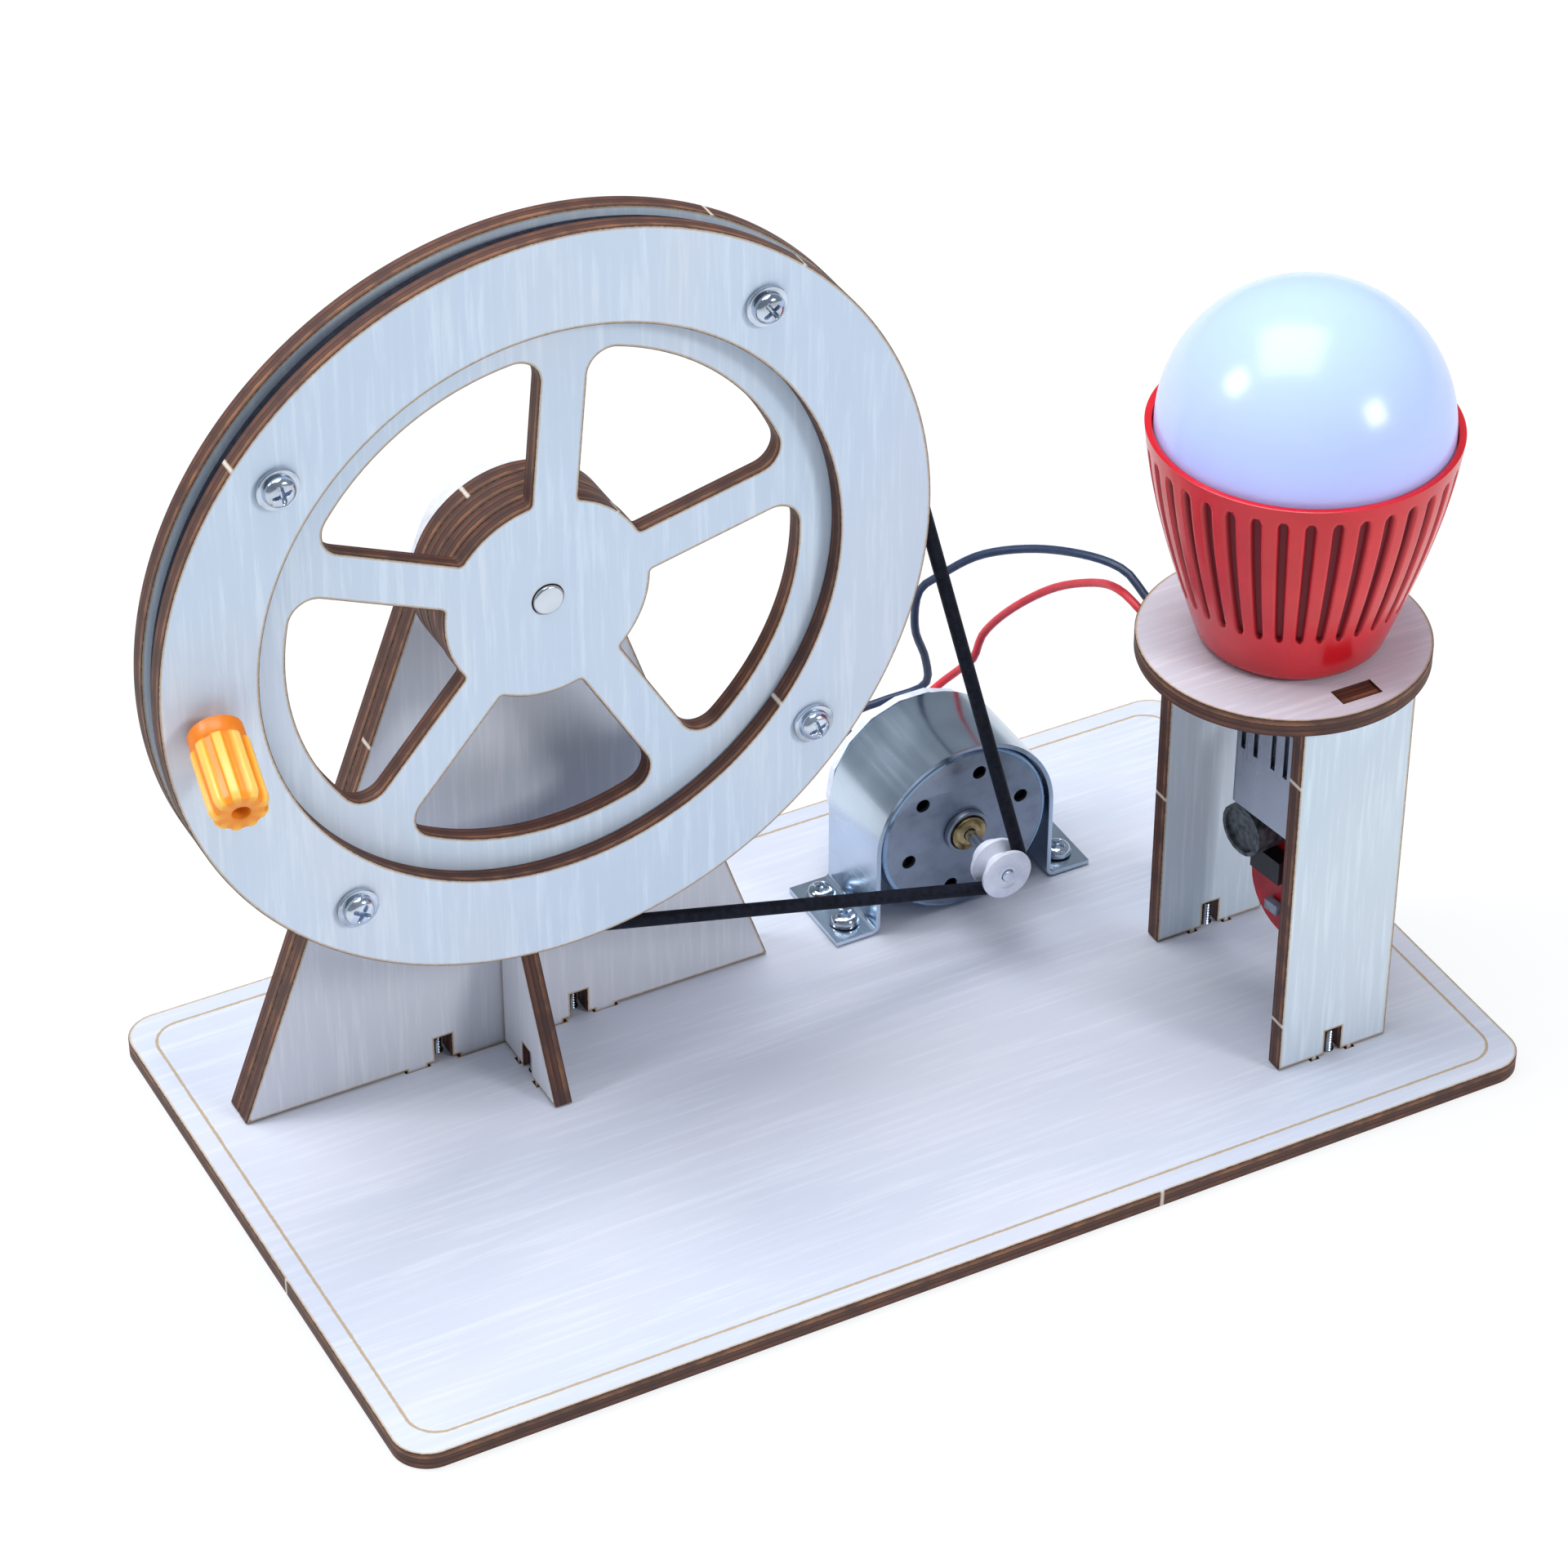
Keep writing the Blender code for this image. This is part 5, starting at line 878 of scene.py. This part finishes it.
# Motor: a zinc plated steel can with a rounded front edge, six holes and a raised boss.
# A brass bearing in the boss carries the shaft; the plastic cap closes the back.
can_steel = steel("motor_zinc", shade(150, 176, 204), 0.24, 900.0, (1.0, 0.04, 1.0), 0.16, 34.0)
face_steel = steel("motor_face_zinc", shade(146, 156, 172), 0.38, 500.0, (1, 1, 1), 0.09, 300.0)
motor_origin = (motor_x, 0.0207, motor_z)
can_outer, can_inner, can_flat, can_back = 0.0158, 0.0150, 0.0149, -0.0180
arc_turn = np.linspace(0, math.pi / 2, 8)
edge_round = arc(0.0009, arc_turn, (can_flat, -0.0009))
inner_round = arc(0.0001, arc_turn[::-1], (can_flat, -0.0009))
can_wall = np.vstack([[(can_inner, can_back), (can_outer, can_back)], edge_round,
                      [(can_flat, -0.0008)], inner_round, [(can_inner, can_back)]])
lathe("motor_can_wall", can_wall, 160, motor_origin, BACK_TO_FRONT, can_steel, "frame",
      ["motor_can"])
hole_turns = math.radians(17) + whole_turn(6)
face_holes = [ring_line(0.00125, 40, spot) for spot in arc(0.0111, hole_turns)] + [ring_line(0.0033, 48)]
mesh = cut_sheet("motor_can_face", ring_line(can_flat, 200), face_holes, 0.0008,
                 (motor_x, 0.0215, motor_z), *FRONT, rows=CRISP)
settle("motor_can_face", mesh, face_steel, "frame")
boss = eased([(0.00325, 0.0), (0.0041, 0.0), (0.0039, 0.0012), (0.00325, 0.0012),
              (0.00325, 0.0)], 0.0003)
lathe("motor_boss", boss, 72, motor_origin, BACK_TO_FRONT, face_steel, "frame")
brass, brass_shader = fresh_look("bearing_brass", shade(176, 154, 112), 0.35, 1.0)
tarnish = noise(brass, 600.0, 4.0)
two_tone(brass, brass_shader, tarnish, shade(118, 98, 66), shade(204, 184, 138))
shaft_bore = 0.00115
bearing_line = eased([(shaft_bore, 0.0017), (0.0020, 0.0017), (0.0024, 0.0012), (0.0031, 0.0017),
                      (0.0031, -0.0013), (shaft_bore, -0.0013), (shaft_bore, 0.0017)], 0.0001)
lathe("motor_bearing", bearing_line, 64, motor_origin, BACK_TO_FRONT, brass, "frame",
      ["motor_front_bearing"])
shaft = eased([(0, -0.0210), (0.001, -0.0210), (0.001, 0.0148), (0, 0.0148)], 0.0002)
lathe("motor_axle", shaft, 40, motor_origin, BACK_TO_FRONT, bright, "rotor",
      ["motor_shaft"])

# Drive pulley: white moulded nylon, two thin flanges with a groove for the belt between
# them, and a short boss towards the motor.
white, white_shader = fresh_look("white_nylon", shade(232, 234, 246), 0.34)
haze = noise(white, 300.0, 3.0)
two_tone(white, white_shader, haze, shade(214, 218, 238), shade(238, 240, 250))
white_shader.inputs["Subsurface Weight"].default_value = 0.2
white_shader.inputs["Subsurface Radius"].default_value = (0.003, 0.003, 0.003)
relief(white, white_shader, haze, 0.08, 0.0002)
pulley_line = eased([(shaft_bore, 0.0023), (0.0016, 0.0023), (0.0018, 0.0020), (0.0026, 0.0020),
                     (0.0028, 0.0023), (0.0045, 0.0023), (0.0045, 0.0016), (0.0025, 0.0008),
                     (0.0025, -0.0008), (0.0045, -0.0016), (0.0045, -0.0023), (0.0030, -0.0023),
                     (0.0030, -0.0043), (shaft_bore, -0.0043), (shaft_bore, 0.0023)], 0.00015)
lathe("belt_pulley", pulley_line, 96, (motor_x, 0.0087, motor_z), BACK_TO_FRONT, white,
      "rotor", ["drive_pulley"])

# Strap: a bright sheet steel saddle bent over the can, with two feet screwed to the base.
strap_steel = steel("strap_zinc", shade(192, 206, 222), 0.22, 900.0, (1.0, 0.05, 1.0), 0.14, 40.0)
thick, width = 0.0008, 0.017
middle_radius = 0.0169 - thick / 2
bend_radius, bend_z, foot_z = 0.0012, 0.0049, 0.0037
bend = np.linspace(-math.pi / 2, -math.pi, 8)
right_foot = np.linspace((0.0244, foot_z), (0.0180, foot_z), 8)
right_bend = arc(bend_radius, bend, (middle_radius + bend_radius, bend_z))
mirror = (-1, 1)
strap_line = np.vstack([
    right_foot, right_bend, arc(middle_radius, np.linspace(0, math.pi, 80), (0, motor_z)),
    right_bend[::-1] * mirror, right_foot[::-1] * mirror])
along = np.gradient(strap_line, axis=0)
along /= np.linalg.norm(along, axis=1, keepdims=True)
outward = np.stack([along[:, 1], -along[:, 0]], 1)
section = np.array([(-0.4, -0.5), (0.4, -0.5), (0.5, -8.4 / 17), (0.5, 8.4 / 17),
                    (0.4, 0.5), (-0.4, 0.5), (-0.5, 8.4 / 17), (-0.5, -8.4 / 17)]) * (thick, width)
points = strap_line[:, None, :] + section[None, :, :1] * outward[:, None, :]
strap_grid = np.stack([points[..., 0] + motor_x,
                       np.broadcast_to(section[:, 1], points.shape[:2]) + 0.0288, points[..., 1]], -1)
ends = [np.broadcast_to(strap_grid[i].mean(0), (1, *strap_grid.shape[1:])) for i in (0, -1)]
strap_grid = np.vstack([ends[0], strap_grid, ends[1]])
settle("motor_strap", skin("motor_strap", strap_grid), strap_steel, "frame",
       ["motor_bracket"])


# Lamp cup: glossy red plastic with 36 upright slots, flaring to a thin plain lip.
# A flat neck goes down through the disc to the plug.
def red_gloss():
    """Red plastic with painted shade deep in the slots, where it is also rougher, and a faint moulded
    unevenness.
    """
    look, shader = fresh_look("red_gloss", shade(208, 12, 28), 0.24)
    slot_shade_mask = node(look, "Attribute", attribute_name="slot_shade_mask").outputs["Fac"]
    cloud = noise(look, 120.0, 3.0)
    body = ramp(look, cloud, [(0.3, shade(196, 8, 26)), (0.7, shade(212, 18, 32))])
    wire(look, blend_colours(look, slot_shade_mask, body, shade(112, 2, 24)), shader, "Base Color")
    rough_from(look, shader, slot_shade_mask, {3: 0.24, 4: 0.80})
    relief(look, shader, cloud, 0.05, 0.0005)
    shader.inputs["Coat Weight"].default_value = 0.10
    shader.inputs["Coat Roughness"].default_value = 0.12
    return look


cup_floor_z, cup_height, foot_radius, lip_radius = 0.0746, 0.0380, 0.0146, 0.0245
slot_count, columns_each, slot_share, slot_depth = 36, 16, 0.40, 0.0010
slot_low, slot_high = 0.0098, 0.0354
heights = np.concatenate([[0.0, 0.0004, 0.0012], np.linspace(0.0020, 0.0360, 86),
                          [0.0372, 0.0378, cup_height]])
share_up = heights / cup_height
flare = 0.6 * np.sin(share_up * math.pi / 2) + 0.4 * share_up
cup_radius = foot_radius + (lip_radius - foot_radius) * flare
cup_radius[0] -= 0.0012
cup_radius[1] -= 0.0004
columns = slot_count * columns_each
angles = whole_turn(columns)
wave = (np.arange(columns) / columns_each + 0.5) % 1.0
pitch = TURN / slot_count * cup_radius[:, None]
across_slot = np.abs(wave - 0.5) * pitch
slot_half = slot_share / 2 * pitch
# A slot's half width shrinks on a circle towards each of its ends.
end_room = np.minimum(heights - slot_low, slot_high - heights)[:, None]
into_end = 1 - np.clip(end_room, 0, None) / slot_half
tapered = slot_half * np.sqrt(np.clip(1 - into_end ** 2, 0, 1))
rounded = np.where(end_room < slot_half, tapered, slot_half)
inside = np.clip((rounded - across_slot) / 0.00018, 0, 1) * (end_room > 0)
cup_rows = cup_radius[:, None] - slot_depth * inside
around = arc(1.0, angles)
levels = np.broadcast_to(heights[:, None, None], (*cup_rows.shape, 1))
cup_grid = np.concatenate([cup_rows[:, :, None] * around, levels], -1)
plain_rows = [(0.0243, 0.0381), (0.0234, 0.0380), (0.0234, 0.0356), (0.0212, 0.0356),
              (0.0125, 0.0022), (0, 0.0022)]
inner = np.array([hoop(radius, level, angles) for radius, level in plain_rows])
bottom = np.zeros((1, columns, 3))
cup_all = np.vstack([bottom, cup_grid, inner]) + (*lamp_at, cup_floor_z)
mesh = skin("red_lamp_cup", cup_all)
# painted shade: the insides of the slots are marked for a darker red in the material
slot_shade_mask = np.zeros(cup_all.shape[:2])
slot_shade_mask[1:1 + len(heights)] = inside
mark_points(mesh, "slot_shade_mask", slot_shade_mask.ravel())
red = red_gloss()
settle("red_lamp_cup", mesh, red, "frame", ["lamp_cup"], 60)
neck = round_corners(box_line((-0.0040, -0.0075), (0.0040, 0.0075)), 0.0018, 6)
mesh = cut_sheet("red_lamp_neck", neck, [], 0.0170, (*lamp_at, 0.0589),
                 (*swing[0], 0), (*swing[1], 0), (0, 0, 1),
                 rows=[(0.0002, 0, 0), (0, 0.012, 0), (0, 0.995, 0), (0.0002, 1, 0)])
settle("red_lamp_neck", mesh, red, "frame")

# Dome: milky plastic with a faint painted glow from emission, seated in the cup's lip,
# lavender below and cooler above, with two soft reflections of the studio's lights.
milk, milk_shader = fresh_look("milky_dome", shade(196, 206, 250), 0.22)
tall = node(milk, "SeparateXYZ", {0: place_on(milk)}).outputs["Z"]
rising = node(milk, "MapRange", {0: tall, 1: 0.108, 2: 0.136}).outputs[0]
mist = noise(milk, 60.0, 2.0)
rising = maths(milk, "MULTIPLY_ADD", mist, 0.10, rising)
wire(milk, ramp(milk, rising, [(0.05, shade(182, 178, 240)), (0.45, shade(180, 194, 244)),
                               (1.0, shade(176, 198, 242))]), milk_shader, "Base Color")
milk_shader.inputs["Subsurface Weight"].default_value = 0.35
milk_shader.inputs["Subsurface Radius"].default_value = (0.008, 0.008, 0.010)
# painted glow: a faint emission lightens the dome beyond what the lamps give it
milk_shader.inputs["Emission Color"].default_value = (*shade(200, 205, 255), 1)
milk_shader.inputs["Emission Strength"].default_value = 0.10
bow = np.linspace(0, math.pi / 2, 60)
dome_outer, dome_inner, dome_foot = 0.0231, 0.0219, 0.0362
dome_line = np.vstack([
    [(dome_inner, dome_foot), (dome_outer, dome_foot)],
    arc(dome_outer, bow, (0, cup_height)), arc(dome_inner, bow[::-1], (0, cup_height)),
    [(dome_inner, dome_foot)]])
lathe("milky_lamp_dome", dome_line, 160, (*lamp_at, cup_floor_z), (0, 0, 1), milk,
      "frame", ["lamp_dome"], 60)


# Parts kept from the frame: the small plain ones inside the motor, lamp and converter.
# Each gets a finish of its own: stacked iron, ferrite, copper, tin, moulded plastic.
def plain_finish(name, low, high, rough, metallic, scale, stretch):
    """A two-tone finish from noise, with a matching roughness and relief."""
    look, shader = fresh_look(name, low, rough, metallic)
    cloud = noise(look, scale, 4.0, stretch)
    two_tone(look, shader, cloud, low, high)
    rough_from(look, shader, cloud, {3: rough * 0.8, 4: rough * 1.2})
    relief(look, shader, cloud, 0.2, 0.0001)
    return look


# Material, nodes, low tone, high tone, roughness, metallic, noise scale and stretch.
finishes = (
    ("stacked_iron", ("armature",), (60, 62, 66), (110, 112, 118), 0.50, 1.0, 900.0, (0.1, 4.0, 0.1)),
    ("ferrite", ("magnet_left", "magnet_right"), (34, 34, 36), (52, 52, 54), 0.70, 0.0, 700.0, None),
    ("copper_bars", ("commutator",), (150, 88, 60), (204, 128, 92), 0.35, 1.0, 500.0, None),
    ("brush_spring", ("brush_1", "brush_2"), (70, 66, 62), (120, 112, 100), 0.50, 1.0, 500.0, None),
    ("tin_terminal", ("motor_terminal_1", "motor_terminal_2"), (170, 150, 110), (214, 198, 156),
     0.32, 1.0, 700.0, None),
    ("grey_chips", ("converter_part_1", "converter_part_2"), (120, 134, 150), (160, 174, 190),
     0.45, 0.0, 900.0, None),
    ("black_chip", ("converter_chip", "socket_insert"), (16, 17, 20), (34, 36, 40),
     0.42, 0.0, 900.0, None),
    ("red_mask", ("converter_board",), (150, 10, 28), (196, 22, 40), 0.30, 0.0, 300.0, None),
    ("coil_core", ("converter_coil",), (52, 56, 60), (112, 118, 122), 0.45, 0.6, 900.0, None),
)
kept = [(names, plain_finish(name, shade(*low), shade(*high), *rest))
        for name, names, low, high, *rest in finishes]
kept += [
    (("motor_end_cap", "axle_bush", "light_board"), white),
    (("socket_shell",),
     steel("socket_tin", shade(176, 182, 192), 0.28, 700.0, (1, 1, 0.06), 0.16, 50.0)),
    (("lamp_plug",), bright),
    (("crank_screw",), screw_zinc),
]
for names, look in kept:
    for name in names:
        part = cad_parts[name]
        part.data.materials.clear()
        part.data.materials.append(look)
